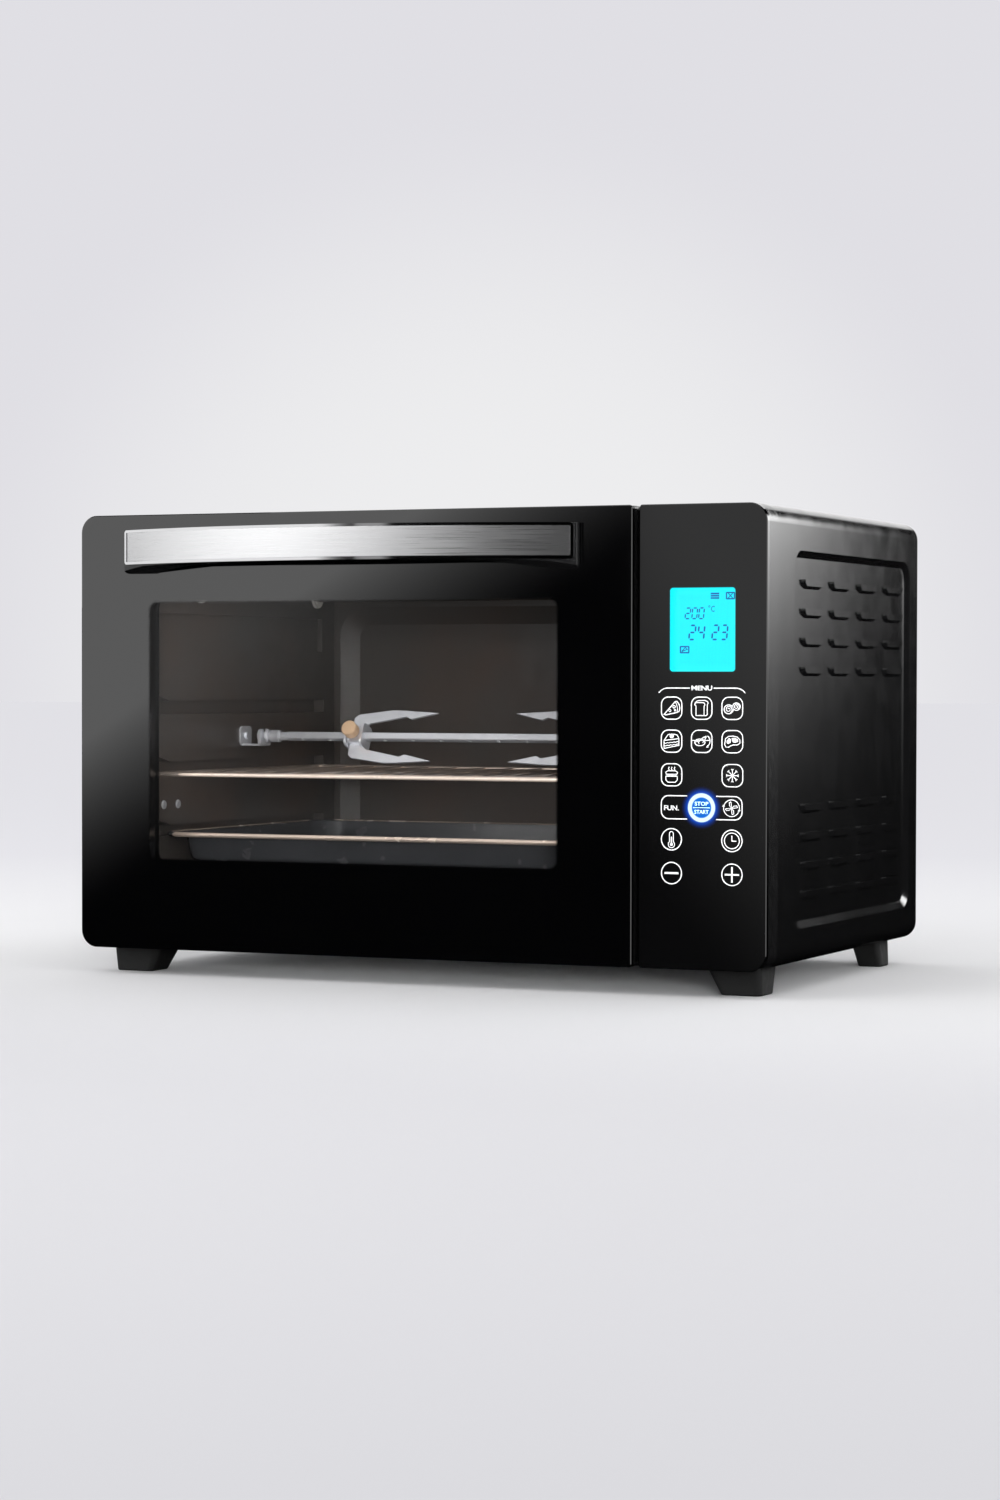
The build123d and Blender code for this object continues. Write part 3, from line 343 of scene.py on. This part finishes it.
def display_face():
    """The backlit cell: cyan light, a little brighter towards its edges."""
    g = Graph("display_cell")
    edge = g.outside(DISPLAY_X, DISPLAY_Z, DISPLAY_R)
    rim = g.ramp(edge, -0.006, -0.0005)
    cloud = g.math("MULTIPLY", g.noise(60.0, 2.0), 0.25)
    g.set(Base_Color=g.mix(cloud, rgb(0.0, 0.06, 0.08), rgb(0.0, 0.08, 0.09)))
    tone = g.math("ADD", g.math("MULTIPLY", rim, 0.7), cloud, clamp=True)
    g.set(Emission_Color=g.mix(tone, rgb(0.0, 0.80, 1.0), rgb(0.01, 0.92, 1.0)))
    g.set(Emission_Strength=1.06, Roughness=0.4)
    return g.material


def ring_light():
    g = Graph("ring_light")
    cloud = g.noise(300.0, 2.0)
    g.set(Base_Color=rgb(0.6, 0.8, 1.0), Roughness=0.4)
    g.set(Emission_Color=g.mix(cloud, rgb(0.25, 0.6, 1.0), rgb(0.6, 0.9, 1.0)))
    g.set(Emission_Strength=1.2)
    return g.material


def circuit_board():
    g = painted("circuit_green", rgb(0.012, 0.10, 0.045), 0.38, 0.00004, 1200.0)
    brick = g.tree.nodes.new("ShaderNodeTexBrick")
    brick.inputs["Scale"].default_value = 90.0
    brick.inputs["Mortar Size"].default_value = 0.03
    g.tree.links.new(g.place, brick.inputs["Vector"])
    base = g.shader.inputs["Base Color"].links[0].from_socket
    g.set(Base_Color=g.mix(brick.outputs["Fac"], base, rgb(0.03, 0.2, 0.09)))
    return g.material


def fibre_mat():
    return moulded("fibre_mat", rgb(0.70, 0.68, 0.60), 0.9, 500.0, 0.0006).material


MOULDED = rgb(0.006, 0.006, 0.0063)
SLOTS = {
    "body_black": body_paint(),
    "moulded_black": moulded("moulded_black", MOULDED, 0.2, 900.0, 0.00002).material,
    "foot_black": moulded("foot_black", rgb(0.008, 0.008, 0.008), 0.55, 700.0).material,
    "printed_glass": door_glass(),
    "clear_glass": clear_glass(),
    "cavity_enamel": cavity_enamel(),
    "zinc_steel": zinc_steel(),
    "brushed_trim": brushed_trim(),
    "chromed_wire": chromed_wire(),
    "spit_steel": spit_steel(),
    "screw_brass": screw_brass(),
    "tray_enamel": tray_enamel(),
    "heater_sheath": heater_sheath(),
    "ceramic_white": ceramic(),
    "aluminium_wheel": metal("aluminium", rgb(0.66, 0.66, 0.68), 0.32).material,
    "motor_steel": metal("motor_steel", rgb(0.28, 0.28, 0.30), 0.40).material,
    "circuit_green": circuit_board(),
    "component_black": moulded("component_black", rgb(0.02, 0.02, 0.024), 0.5).material,
    "display_cyan": display_face(),
    "ring_light": ring_light(),
    "fibre_mat": fibre_mat(),
}
PANEL_PRINT = panel_glass()


def set_material(piece, material):
    for slot in piece.material_slots:
        slot.link = "OBJECT"
        slot.material = material


def finish_nodes():
    """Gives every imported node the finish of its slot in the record."""
    for part in frame["record"]["subparts"]:
        set_material(NODES[part["node"]], SLOTS[part["material_slot"]])
    set_material(NODES["panel_glass"], PANEL_PRINT)


finish_nodes()


# ---- printing on the panel and the display ----
PRINT_Y = -0.05
CELL_INK_Y = 3.93
KEY_LINE = 0.62


class Print:
    """Flat shapes on the front, drawn in millimetres, that become one thin raised mesh."""

    def __init__(self, depth):
        self.mesh = bmesh.new()
        self.y = FRONT_Y + depth * MM
        self.at(0.0, 0.0)

    def at(self, x, z):
        self.centre = (x, z)

    def vertex(self, point):
        x = (self.centre[0] + point[0]) * MM
        z = (self.centre[1] + point[1]) * MM + BASE_Z
        return self.mesh.verts.new((x, self.y, z))

    def fill(self, points):
        face = self.mesh.faces.new([self.vertex(point) for point in points])
        face.normal_update()
        if face.normal.y > 0:
            face.normal_flip()

    def line(self, points, width=0.5, closed=False):
        """A ribbon of even width with mitred corners."""
        points = [Vector(point) for point in points]
        count = len(points)
        sides = []
        for index, point in enumerate(points):
            before = points[index - 1] if closed or index else None
            after = points[(index + 1) % count] if closed or index < count - 1 else None
            ways = [(point - before).normalized()] if before is not None else []
            ways += [(after - point).normalized()] if after is not None else []
            normals = [Vector((-way.y, way.x)) for way in ways]
            mitre = sum(normals, Vector((0.0, 0.0)))
            mitre = mitre.normalized() if mitre.length > 1e-6 else normals[0]
            reach = width / 2 / max(0.5, mitre.dot(normals[0]))
            sides.append((point + mitre * reach, point - mitre * reach))
        steps = range(count if closed else count - 1)
        for index in steps:
            left, right = sides[index]
            next_left, next_right = sides[(index + 1) % count]
            self.fill([left, next_left, next_right, right])

    def arc(self, x, z, radius, start=0.0, end=360.0, steps=32, squash=1.0):
        spots = []
        for step in range(steps + 1):
            angle = math.radians(start + (end - start) * step / steps)
            spots.append((x + radius * math.cos(angle), z + radius * squash * math.sin(angle)))
        return spots

    def circle(self, x, z, radius, width=0.5, squash=1.0):
        self.line(self.arc(x, z, radius, squash=squash)[:-1], width, closed=True)

    def disc(self, x, z, radius, squash=1.0):
        self.fill(self.arc(x, z, radius, squash=squash)[:-1])

    def frame(self, half_x, half_z, corner, width=0.5):
        points = []
        for side_x, side_z, start in ((1, 1, 0), (-1, 1, 90), (-1, -1, 180), (1, -1, 270)):
            x, z = side_x * (half_x - corner), side_z * (half_z - corner)
            points += self.arc(x, z, corner, start, start + 90, 8)
        self.line(points, width, closed=True)

    def word(self, text, width, height, bold=0.02):
        """Generic lettering, scaled to a box around the current centre."""
        curve = bpy.data.curves.new(text, "FONT")
        curve.body = text
        curve.offset = bold
        curve.resolution_u = 3
        letters = bpy.data.objects.new(text, curve)
        flat = bpy.data.meshes.new_from_object(letters)
        spots = [vertex.co for vertex in flat.vertices]
        low = Vector((min(spot.x for spot in spots), min(spot.y for spot in spots)))
        high = Vector((max(spot.x for spot in spots), max(spot.y for spot in spots)))
        scale = (width / (high.x - low.x), height / (high.y - low.y))
        for polygon in flat.polygons:
            points = []
            for index in polygon.vertices:
                offset = spots[index].xy - (low + high) / 2
                points.append((offset.x * scale[0], offset.y * scale[1]))
            self.fill(points)
        bpy.data.objects.remove(letters)
        bpy.data.curves.remove(curve)
        bpy.data.meshes.remove(flat)

    def finish(self, name, material, thickness=0.05):
        bmesh.ops.remove_doubles(self.mesh, verts=self.mesh.verts, dist=1e-7)
        mesh = bpy.data.meshes.new(name)
        self.mesh.to_mesh(mesh)
        self.mesh.free()
        mesh.materials.append(material)
        piece = bpy.data.objects.new(name, mesh)
        bpy.context.collection.objects.link(piece)
        solid = piece.modifiers.new("Thickness", "SOLIDIFY")
        solid.thickness = thickness * MM
        solid.offset = -1.0
        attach(piece, "oven_body")


def spiral(ink, x, z, radius, turns, width):
    spots = []
    steps = int(turns * 20)
    for step in range(steps + 1):
        part = step / steps
        angle = math.radians(-60 + 360 * turns * part)
        reach = radius * (1 - 0.8 * part)
        spots.append((x + reach * math.cos(angle), z + reach * math.sin(angle)))
    ink.line(spots, width)


THIN = 0.42


def pizza(ink):
    ink.line([(2.4, 4.1), (-5.0, -3.9), (-3.9, -4.3), (3.6, -2.7)], 0.6)
    ink.line([(2.4, 4.1), (3.6, 4.1), (5.0, 2.2), (5.5, 0.0), (5.0, -2.0), (3.6, -2.7)], 0.6)
    ink.line([(2.4, 4.1), (3.4, 2.0), (3.9, -0.4), (3.6, -2.7)], THIN)
    ink.circle(1.6, 0.8, 0.8, THIN)
    ink.circle(-1.2, -1.6, 0.7, THIN)
    ink.circle(2.3, -1.4, 0.5, THIN)


def bread(ink):
    front = [(-3.7, -4.6), (-3.7, 1.3), (-4.6, 2.2), (-4.2, 3.2), (-3.0, 3.5), (0.8, 3.5)]
    front += [(1.9, 3.1), (2.2, 2.1), (1.6, 1.3), (1.6, -4.6)]
    ink.line(front, 0.5, closed=True)
    back = [(-4.2, 3.4), (-3.2, 4.4), (-1.8, 4.8), (2.4, 4.8), (4.0, 4.1), (4.3, 3.0)]
    back += [(3.7, 2.2), (3.7, -4.0), (3.0, -4.6), (1.6, -4.6)]
    ink.line(back, 0.5)


def pastry(ink):
    for x, z, radius in ((-2.4, -0.6, 3.0), (2.7, 1.1, 2.5)):
        ink.circle(x, z, radius, 0.55, 0.92)
        spiral(ink, x, z, radius * 0.78, 1.6, THIN)


def cake(ink):
    ink.line([(-5.0, -4.6), (-5.0, 0.4), (4.9, 1.6), (4.9, -2.6)], 0.5, closed=True)
    ink.line([(-5.0, 0.4), (-2.4, 4.0), (-1.0, 4.4)], 0.5)
    ink.line([(1.2, 4.4), (3.8, 3.8), (4.9, 1.6)], 0.5)
    for z in (-3.0, -1.4):
        wave = [(-5.0 + 1.1 * n, z + 0.13 * n + 0.2 * (-1) ** n) for n in range(10)]
        ink.line(wave, THIN)
    ink.disc(0.1, 3.2, 1.4)


def roast(ink):
    ink.line(ink.arc(-1.2, -0.6, 3.4, squash=0.62)[:-1], 0.5, closed=True)
    ink.line([(-6.2, 0.6), (5.4, 0.6)], 0.45)
    ink.line([(-2.0, -0.4), (-0.4, 1.4), (1.6, 2.8), (2.6, 2.2), (2.0, 0.8), (0.6, -0.8)], 0.5)
    ink.line([(-4.2, -0.6), (-2.8, 0.3), (-1.6, -1.6)], THIN)
    ink.disc(2.6, 2.7, 0.7)
    ink.line(ink.arc(1.6, 0.2, 3.9, -55, 55, 14), 0.5)
    ink.fill([(4.6, -3.6), (3.0, -3.8), (3.9, -2.2)])


def steak(ink):
    rim = [(-4.8, -0.2), (-4.5, 1.8), (-2.6, 3.2), (0.4, 3.5), (3.2, 2.9), (4.9, 1.2), (5.0, -0.9)]
    rim += [(3.2, -2.0), (0.6, -2.0), (-1.2, -2.6), (-2.4, -3.4), (-4.2, -3.4), (-5.0, -1.9)]
    ink.line(rim, 0.5, closed=True)
    ink.fill([(-3.6, 0.6), (-2.2, 2.2), (-0.9, 1.5), (-1.1, -0.6), (-2.8, -1.5), (-3.8, -0.7)])
    meat = [(-0.4, 2.3), (1.6, 2.4), (3.5, 1.5), (3.8, 0.2), (2.2, -0.6), (0.4, -0.5), (-0.2, 0.8)]
    ink.fill(meat)


def pot(ink):
    ink.line([(-3.5, 0.2), (3.5, 0.2)], 1.1)
    ink.line([(-3.9, 1.6), (-2.6, 2.5), (2.6, 2.5), (3.9, 1.6), (3.6, 0.4), (-3.6, 0.4)], 0.5, True)
    ink.line([(-3.8, -0.9), (3.8, -0.9), (3.8, -3.2), (2.4, -4.6), (-2.4, -4.6), (-3.8, -3.2)], 0.5, True)
    for x in (-1.9, 0.0, 1.9):
        steam = [(x + 0.3 * math.sin(1.9 * n), 2.8 + 0.45 * n) for n in range(6)]
        ink.line(steam, THIN)


def snowflake(ink):
    for turn in range(8):
        angle = math.radians(45 * turn)
        way = Vector((math.cos(angle), math.sin(angle)))
        side = Vector((-way.y, way.x))
        ink.line([(0, 0), way * 4.1], 0.55)
        ink.line([way * 4.1 + side * 0.8, way * 3.0, way * 4.1 - side * 0.8], THIN)


def fan(ink):
    ink.circle(0, 0, 5.2, 0.5)
    for turn in range(4):
        angle = math.radians(90 * turn + 8)
        way = Vector((math.cos(angle), math.sin(angle)))
        side = Vector((-way.y, way.x))
        blade = [way * 0.4, way * 1.6 + side * 1.1, way * 3.6 + side * 1.0]
        blade += [way * 4.0, way * 3.4 - side * 0.2]
        ink.line(blade, THIN, closed=True)
    ink.disc(0, 0, 0.8)
    ink.fill([(-6.2, 1.0), (-4.6, 2.8), (-4.4, 0.9)])
    ink.fill([(6.0, -1.2), (4.4, -2.8), (4.3, -0.9)])


def thermometer(ink):
    tube = [(-1.3, -1.6), (-1.3, 3.4)] + ink.arc(0, 3.5, 1.3, 180, 0, 8) + [(1.3, -1.6)]
    bulb = ink.arc(0, -3.2, 2.1, 50, -230, 20)
    ink.line(tube + bulb, 0.45, closed=True)
    ink.line([(0, -2.8), (0, 1.6)], 0.9)
    ink.disc(0, -3.2, 1.0)


def clock(ink):
    ink.circle(0, 0, 4.9, 0.55)
    ink.line([(0, 3.2), (0, -0.1), (2.9, -0.1)], 0.55)


def minus(ink):
    ink.line([(-4.6, 0), (4.6, 0)], 1.15)


def plus(ink):
    ink.line([(-4.7, 0), (4.7, 0)], 1.0)
    ink.line([(0, -4.8), (0, 4.8)], 1.0)


SQUARE_KEYS = [
    (181.3, 162.9, pizza),
    (201.2, 162.9, bread),
    (221.4, 162.9, pastry),
    (181.3, 142.3, cake),
    (201.3, 142.3, roast),
    (221.5, 142.3, steak),
    (181.4, 121.3, pot),
    (221.6, 121.3, snowflake),
]
ROUND_KEYS = [
    (181.4, 81.1, thermometer),
    (221.4, 80.9, clock),
    (181.5, 60.0, minus),
    (221.5, 59.9, plus),
]


def print_ink():
    """Screen ink: off-white, slightly uneven and matt, with a faint bluish painted glow though it is not
    lit from behind.
    """
    g = painted("panel_ink", rgb(0.80, 0.80, 0.80), 0.55, 0.00001, 3000.0, 0.08, 0.05)
    # painted glow: the ink gives off a little light of its own
    g.set(Emission_Color=rgb(0.8, 0.85, 0.9), Emission_Strength=0.12)
    return g.material


def panel_symbols():
    ink = Print(PRINT_Y)
    for x, z, symbol in SQUARE_KEYS:
        ink.at(x, z)
        ink.frame(6.8, 6.9, 4.5, KEY_LINE)
        symbol(ink)
    for x, z, symbol in ROUND_KEYS:
        ink.at(x, z)
        ink.circle(0, 0, 6.7, KEY_LINE)
        symbol(ink)
    ink.at(221.1, 101.1)
    fan(ink)
    function_key(ink)
    menu_bracket(ink)
    ink.finish("panel_symbols", print_ink())


def function_key(ink):
    """The long outline that the lit key interrupts, with its word."""
    ink.at(RING_X, RING_Z)
    gap = 9.6
    for side in (-1, 1):
        corner = [(side * gap, 7.2), (side * 21.9, 7.2)]
        bend = ink.arc(0, 0, 4.7, 90, 0, 8)
        corner += [(side * (22.0 + spot[0]), spot[1] + 2.5) for spot in bend]
        corner += [(side * (22.0 + spot[0]), -spot[1] - 2.5) for spot in reversed(bend)]
        corner += [(side * gap, -7.2)]
        ink.line(corner, KEY_LINE)
    ink.at(181.4, 100.7)
    ink.word("FUN.", 9.9, 3.1)


def menu_bracket(ink):
    ink.at(201.3, 175.4)
    for side in (-1, 1):
        line = [(side * 7.9, 0), (side * 23.2, 0), (side * 25.4, -0.5), (side * 27.2, -1.6)]
        ink.line(line + [(side * 28.5, -3.0)], KEY_LINE)
    ink.word("MENU", 13.6, 3.0)


def start_words():
    """The lettering of the lit key, with the line between its two words."""
    ink = Print(PRINT_Y)
    for text, z, width in (("STOP", 103.6, 9.0), ("START", 98.5, 9.4)):
        ink.at(RING_X, z)
        ink.word(text, width, 2.5)
    ink.at(RING_X, 101.1)
    ink.line([(-5.6, 0), (5.6, 0)], 0.4)
    g = painted("key_ink", rgb(0.5, 0.75, 0.95), 0.5, 0.00001, 3000.0, 0.08, 0.05)
    g.set(Emission_Color=rgb(0.35, 0.75, 1.0), Emission_Strength=0.8)
    ink.finish("start_words", g.material)


# ---- the display's segments ----
SEGMENTS = {"0": "abcdef", "2": "abdeg", "3": "abcdg", "4": "bcfg"}
SLANT = 0.10


def digit(ink, text, x, z, width, height, thick):
    """One seven-segment figure whose lower left corner is at x, z."""
    middle, gap = height / 2, thick * 0.2
    bars = {
        "a": ((0, height), (width, height)),
        "b": ((width, height), (width, middle)),
        "c": ((width, middle), (width, 0)),
        "d": ((0, 0), (width, 0)),
        "e": ((0, middle), (0, 0)),
        "f": ((0, height), (0, middle)),
        "g": ((0, middle), (width, middle)),
    }
    for name in SEGMENTS[text]:
        start, end = (Vector(spot) for spot in bars[name])
        way = (end - start).normalized()
        side = Vector((-way.y, way.x)) * thick / 2
        start, end = start + way * (gap + thick * 0.25), end - way * (gap + thick * 0.25)
        tip = way * thick / 2
        outline = [start, start + tip + side, end - tip + side, end, end - tip - side]
        outline.append(start + tip - side)
        ink.fill([(x + spot.x + SLANT * spot.y, z + spot.y) for spot in outline])


CELL_SHIFT = 1.3


def display_segments():
    """Figures and small symbols on the front of the display cell."""
    ink = Print(CELL_INK_Y)
    for index, text in enumerate("200"):
        digit(ink, text, CELL_SHIFT + 187.2 + 4.5 * index, 218.6, 3.2, 6.6, 0.8)
    for place, pair in ((189.8, "24"), (205.0, "23")):
        for index, text in enumerate(pair):
            digit(ink, text, CELL_SHIFT + place + 5.9 * index, 205.6, 3.8, 8.8, 1.0)
    ink.at(CELL_SHIFT + 203.3, 226.1)
    ink.circle(0, 0, 0.5, 0.3)
    ink.at(CELL_SHIFT + 206.0, 224.6)
    ink.line(ink.arc(0, 0, 1.3, 50, 310, 12, 1.2), 0.45)
    for n in range(3):
        ink.at(CELL_SHIFT + 207.0, 231.3 + 1.4 * n)
        ink.line([(-2.8, 0), (2.8, 0)], 0.95)
    ink.at(CELL_SHIFT + 217.2, 232.7)
    ink.frame(2.6, 1.9, 0.3, 0.8)
    ink.line([(-1.4, -1.4), (1.4, 1.4)], 0.5)
    ink.line([(-1.4, 1.4), (1.4, -1.4)], 0.5)
    ink.at(CELL_SHIFT + 187.0, 199.3)
    ink.frame(2.8, 1.9, 0.3, 0.8)
    ink.line([(-2.0, -1.2), (0.4, 1.3), (1.8, 0.2), (-2.0, -1.2)], 0.5)
    g = painted("cell_ink", rgb(0.0, 0.02, 0.10), 0.5, 0.00001, 3000.0, 0.05, 0.2)
    g.set(Emission_Color=rgb(0.0, 0.12, 0.52), Emission_Strength=0.5)
    ink.finish("display_segments", g.material)


panel_symbols()
start_words()
display_segments()


# ---- studio ----
def flat_card(name, corners, material):
    """A light card: a flat sheet that only reflections see."""
    mesh = bpy.data.meshes.new(name)
    mesh.from_pydata(corners, [], [(0, 1, 2, 3)])
    mesh.materials.append(material)
    card = bpy.data.objects.new(name, mesh)
    bpy.context.collection.objects.link(card)
    card.visible_camera = False
    card.visible_diffuse = False
    card.visible_transmission = False
    card.visible_shadow = False


def glowing(name):
    g = Graph(name)
    g.tree.nodes.remove(g.shader)
    g.shader = g.tree.nodes.new("ShaderNodeEmission")
    g.tree.links.new(g.shader.outputs[0], g.output.inputs["Surface"])
    return g


CARD_Y = -2.5
# The photo's camera sees this line of the card mirrored in the gap between door and panel.
CARD_SPLIT_X = -0.773


def front_card():
    """The front light, whose left part the door mirrors and whose right part the panel mirrors.

    It is set for the photo's view: from elsewhere the front mirrors other parts of it.
    """
    g = glowing("front_card")
    place = g.axes()
    x, z = place[0], place[2]
    slope = g.math("SUBTRACT", z, g.math("MULTIPLY", x, 0.60))
    door = g.math("POWER", g.ramp(slope, 0.835, 1.100), 2.2)
    door = g.math("MULTIPLY", door, g.math("LESS_THAN", x, CARD_SPLIT_X))
    rise = g.math("ADD", z, g.math("MULTIPLY", x, 1.2))
    panel = g.ramp(rise, -1.00, -0.40, 0.020, 0.34, smooth=True)
    panel = g.math("MULTIPLY", panel, g.math("GREATER_THAN", x, CARD_SPLIT_X))
    panel = g.math("MULTIPLY", panel, g.ramp(x, -0.5, -0.40, 1.0, 0.0))
    right = g.ramp(x, -0.95, 0.62, 4.4, 0.22)
    left = g.math("POWER", g.ramp(x, -6.0, -0.9), 1.8)
    left = g.math("ADD", g.math("MULTIPLY", left, 0.78), 0.22)
    upper = g.math("MULTIPLY", g.math("MULTIPLY", right, left), g.ramp(z, 0.46, 0.9))
    lower = g.math("MULTIPLY", g.math("ADD", door, panel), g.ramp(z, 0.46, 0.9, 1.0, 0.0))
    g.feed(g.shader.inputs["Strength"], g.math("ADD", upper, lower))
    corners = [(-9.0, CARD_Y, -1.2), (1.4, CARD_Y, -1.2), (1.4, CARD_Y, 2.6), (-9.0, CARD_Y, 2.6)]
    flat_card("front_card", corners, g.material)


def side_card():
    """A card beyond the right side that gives its satin paint a falling gradient."""
    g = glowing("side_card")
    place = g.axes()
    reach = g.math("POWER", g.ramp(place[0], 0.425, 0.60, 0.0, 1.50), 1.9)
    height = g.math("POWER", g.ramp(place[2], -0.10, 0.48, 0.0, 1.29), 4.6)
    strength = g.math("MULTIPLY", g.math("MULTIPLY", reach, height), 2.25)
    g.feed(g.shader.inputs["Strength"], strength)
    corners = [(0.25, 0.75, -0.1), (1.5, 0.75, -0.1), (1.5, 0.75, 0.9), (0.25, 0.75, 0.9)]
    flat_card("side_card", corners, g.material)


def round_card(name, corners, strength):
    """A plain card of slightly uneven brightness."""
    g = glowing(name)
    fade = g.noise(0.6, 1.0)
    g.feed(g.shader.inputs["Strength"], g.ramp(fade, 0.3, 0.7, strength * 0.7, strength))
    flat_card(name, corners, g.material)


def softbox(name, place, aim, size, power, spread=180.0, reflected=False):
    light = bpy.data.lights.new(name, "AREA")
    light.spread = math.radians(spread)
    light.shape = "RECTANGLE"
    light.size, light.size_y = size
    light.energy = power
    lamp = bpy.data.objects.new(name, light)
    lamp.location = place
    direction = Vector(aim) - Vector(place)
    lamp.rotation_mode = "QUATERNION"
    lamp.rotation_quaternion = direction.to_track_quat("-Z", "Y")
    lamp.visible_camera = False
    lamp.visible_glossy = reflected
    bpy.context.collection.objects.link(lamp)


FLOOR_RADIUS, FLOOR_SIDES = 30.0, 48
# Painted light on the floor: palest around the oven, falling to a darker painted shade far away and
# towards the front.
FLOOR_PALE = rgb(0.93, 0.93, 0.93)
FLOOR_OUTER_PAINTED_SHADE = rgb(0.84, 0.835, 0.86)
FLOOR_NEAR_PAINTED_SHADE = rgb(0.72, 0.717, 0.735)


def studio_floor():
    """A wide pale floor, a little uneven in tone, with painted light: palest around the oven, darker far
    away and towards the front as painted shade.
    """
    g = painted("studio_floor", FLOOR_PALE, 0.9, 0.0002, 40.0, 0.05, 0.01)
    g.set(Specular_IOR_Level=0.0)
    place = g.axes()
    away = g.ramp(g.length(place[0], place[1]), 0.35, 1.6)
    base = g.shader.inputs["Base Color"].links[0].from_socket
    # painted pool of light: the floor darkens away from the oven
    pale = g.mix(away, base, FLOOR_OUTER_PAINTED_SHADE)
    # painted shade: the floor darkens towards the front
    g.set(Base_Color=g.mix(g.ramp(place[1], 0.1, -0.7, smooth=True), pale, FLOOR_NEAR_PAINTED_SHADE))
    mesh = bpy.data.meshes.new("studio_floor")
    angles = [math.tau * n / FLOOR_SIDES for n in range(FLOOR_SIDES)]
    ring = [(FLOOR_RADIUS * math.cos(a), FLOOR_RADIUS * math.sin(a), 0.0) for a in angles]
    mesh.from_pydata(ring, [], [tuple(range(FLOOR_SIDES))])
    mesh.materials.append(g.material)
    floor = bpy.data.objects.new("studio_floor", mesh)
    bpy.context.collection.objects.link(floor)
    floor.visible_glossy = False


WORLD_LIGHT = 0.90
WORLD_SEEN = rgb(0.745, 0.738, 0.778)
WORLD_CENTRE = rgb(0.850, 0.850, 0.860)
# The backdrop's glow is a round patch in this direction, behind the oven in the photo's view.
GLOW_WAY = Vector((-0.404, 0.915, 0.005))
GLOW_RADIUS = math.radians(9.5)


def studio_world():
    """Even light that reflections don't see, behind a backdrop that only the camera sees."""
    world = bpy.data.worlds.new("studio")
    bpy.context.scene.world = world
    world.use_nodes = True
    tree = world.node_tree
    tree.nodes.clear()
    output = tree.nodes.new("ShaderNodeOutputWorld")
    seen = tree.nodes.new("ShaderNodeBackground")
    place = tree.nodes.new("ShaderNodeTexCoord")
    near = tree.nodes.new("ShaderNodeVectorMath")
    near.operation = "DOT_PRODUCT"
    near.inputs[1].default_value = GLOW_WAY
    tree.links.new(place.outputs["Generated"], near.inputs[0])
    glow = tree.nodes.new("ShaderNodeMapRange")
    glow.interpolation_type = "SMOOTHSTEP"
    glow.inputs["From Min"].default_value = math.cos(GLOW_RADIUS)
    tree.links.new(near.outputs["Value"], glow.inputs["Value"])
    tone = tree.nodes.new("ShaderNodeMix")
    tone.data_type = "RGBA"
    tone.inputs[6].default_value = WORLD_SEEN
    tone.inputs[7].default_value = WORLD_CENTRE
    tree.links.new(glow.outputs[0], tone.inputs[0])
    tree.links.new(tone.outputs[2], seen.inputs["Color"])
    lit = tree.nodes.new("ShaderNodeBackground")
    lit.inputs["Color"].default_value = rgb(WORLD_LIGHT, WORLD_LIGHT, WORLD_LIGHT * 1.02)
    choose = tree.nodes.new("ShaderNodeMixShader")
    path = tree.nodes.new("ShaderNodeLightPath")
    tree.links.new(path.outputs["Is Camera Ray"], choose.inputs[0])
    tree.links.new(lit.outputs[0], choose.inputs[1])
    tree.links.new(seen.outputs[0], choose.inputs[2])
    tree.links.new(choose.outputs[0], output.inputs["Surface"])
    world.cycles_visibility.glossy = False


def studio_lights():
    """Cards and lamps, two of which are inside the oven to light the cavity through the door.

    The lamp in the window's opening and the card under the ceiling stay when the door opens.
    """
    front_card()
    side_card()
    top = [(-1.2, -1.0, 2.4), (1.2, -1.0, 2.4), (1.2, 1.2, 2.4), (-1.2, 1.2, 2.4)]
    round_card("top_card", top, 1.1)
    left = [(-2.4, -1.2, 0.3), (-2.4, 1.4, 0.3), (-2.4, 1.4, 2.0), (-2.4, -1.2, 2.0)]
    round_card("left_card", left, 1.4)
    right = [(2.4, -1.9, -0.6), (2.4, -0.4, -0.6), (2.4, -0.4, 1.6), (2.4, -1.9, 1.6)]
    round_card("right_card", right, 1.1)
    rear = [(-2.0, 2.8, 0.3), (0.6, 2.8, 0.3), (0.6, 2.8, 2.2), (-2.0, 2.8, 2.2)]
    round_card("rear_card", rear, 1.4)
    under = 0.262
    cavity = [(-0.19, -0.115, under), (0.10, -0.115, under), (0.10, 0.06, under), (-0.19, 0.06, under)]
    round_card("cavity_card", cavity, 0.9)
    softbox("key", (-1.4, -1.9, 1.8), (0.0, 0.0, 0.15), (1.4, 1.0), 8.0)
    softbox("front_fill", (1.0, -1.9, 0.30), (-0.05, 0.0, 0.18), (1.0, 0.3), 2.2, 30.0)
    window = (-0.044, -0.117, 0.175)
    softbox("window_light", window, (-0.044, 0.10, 0.15), (0.29, 0.15), 0.15, reflected=True)


studio_floor()
studio_world()
studio_lights()


# ---- camera ----
AZIMUTH, ELEVATION, ROLL = map(math.radians, (23.824, 1.153, 0.115))
AIM = Vector((0.064434, -0.140, 0.1531))
DISTANCE = 2.148
LENS = 80.9


def photo_camera():
    data = bpy.data.cameras.new("camera")
    data.sensor_width = 36.0
    data.lens = LENS
    camera = bpy.data.objects.new("camera", data)
    bpy.context.collection.objects.link(camera)
    flat = math.cos(ELEVATION)
    back = Vector((math.sin(AZIMUTH) * flat, -math.cos(AZIMUTH) * flat, math.sin(ELEVATION)))
    right = Vector((math.cos(AZIMUTH), math.sin(AZIMUTH), 0.0))
    axes = Matrix((right, back.cross(right), back)).transposed()
    camera.rotation_mode = "QUATERNION"
    turn = axes.to_4x4() @ Matrix.Rotation(ROLL, 4, "Z")
    camera.rotation_quaternion = turn.to_quaternion()
    camera.location = AIM + back * DISTANCE
    bpy.context.scene.camera = camera


photo_camera()
bpy.context.scene.view_settings.view_transform = "Standard"
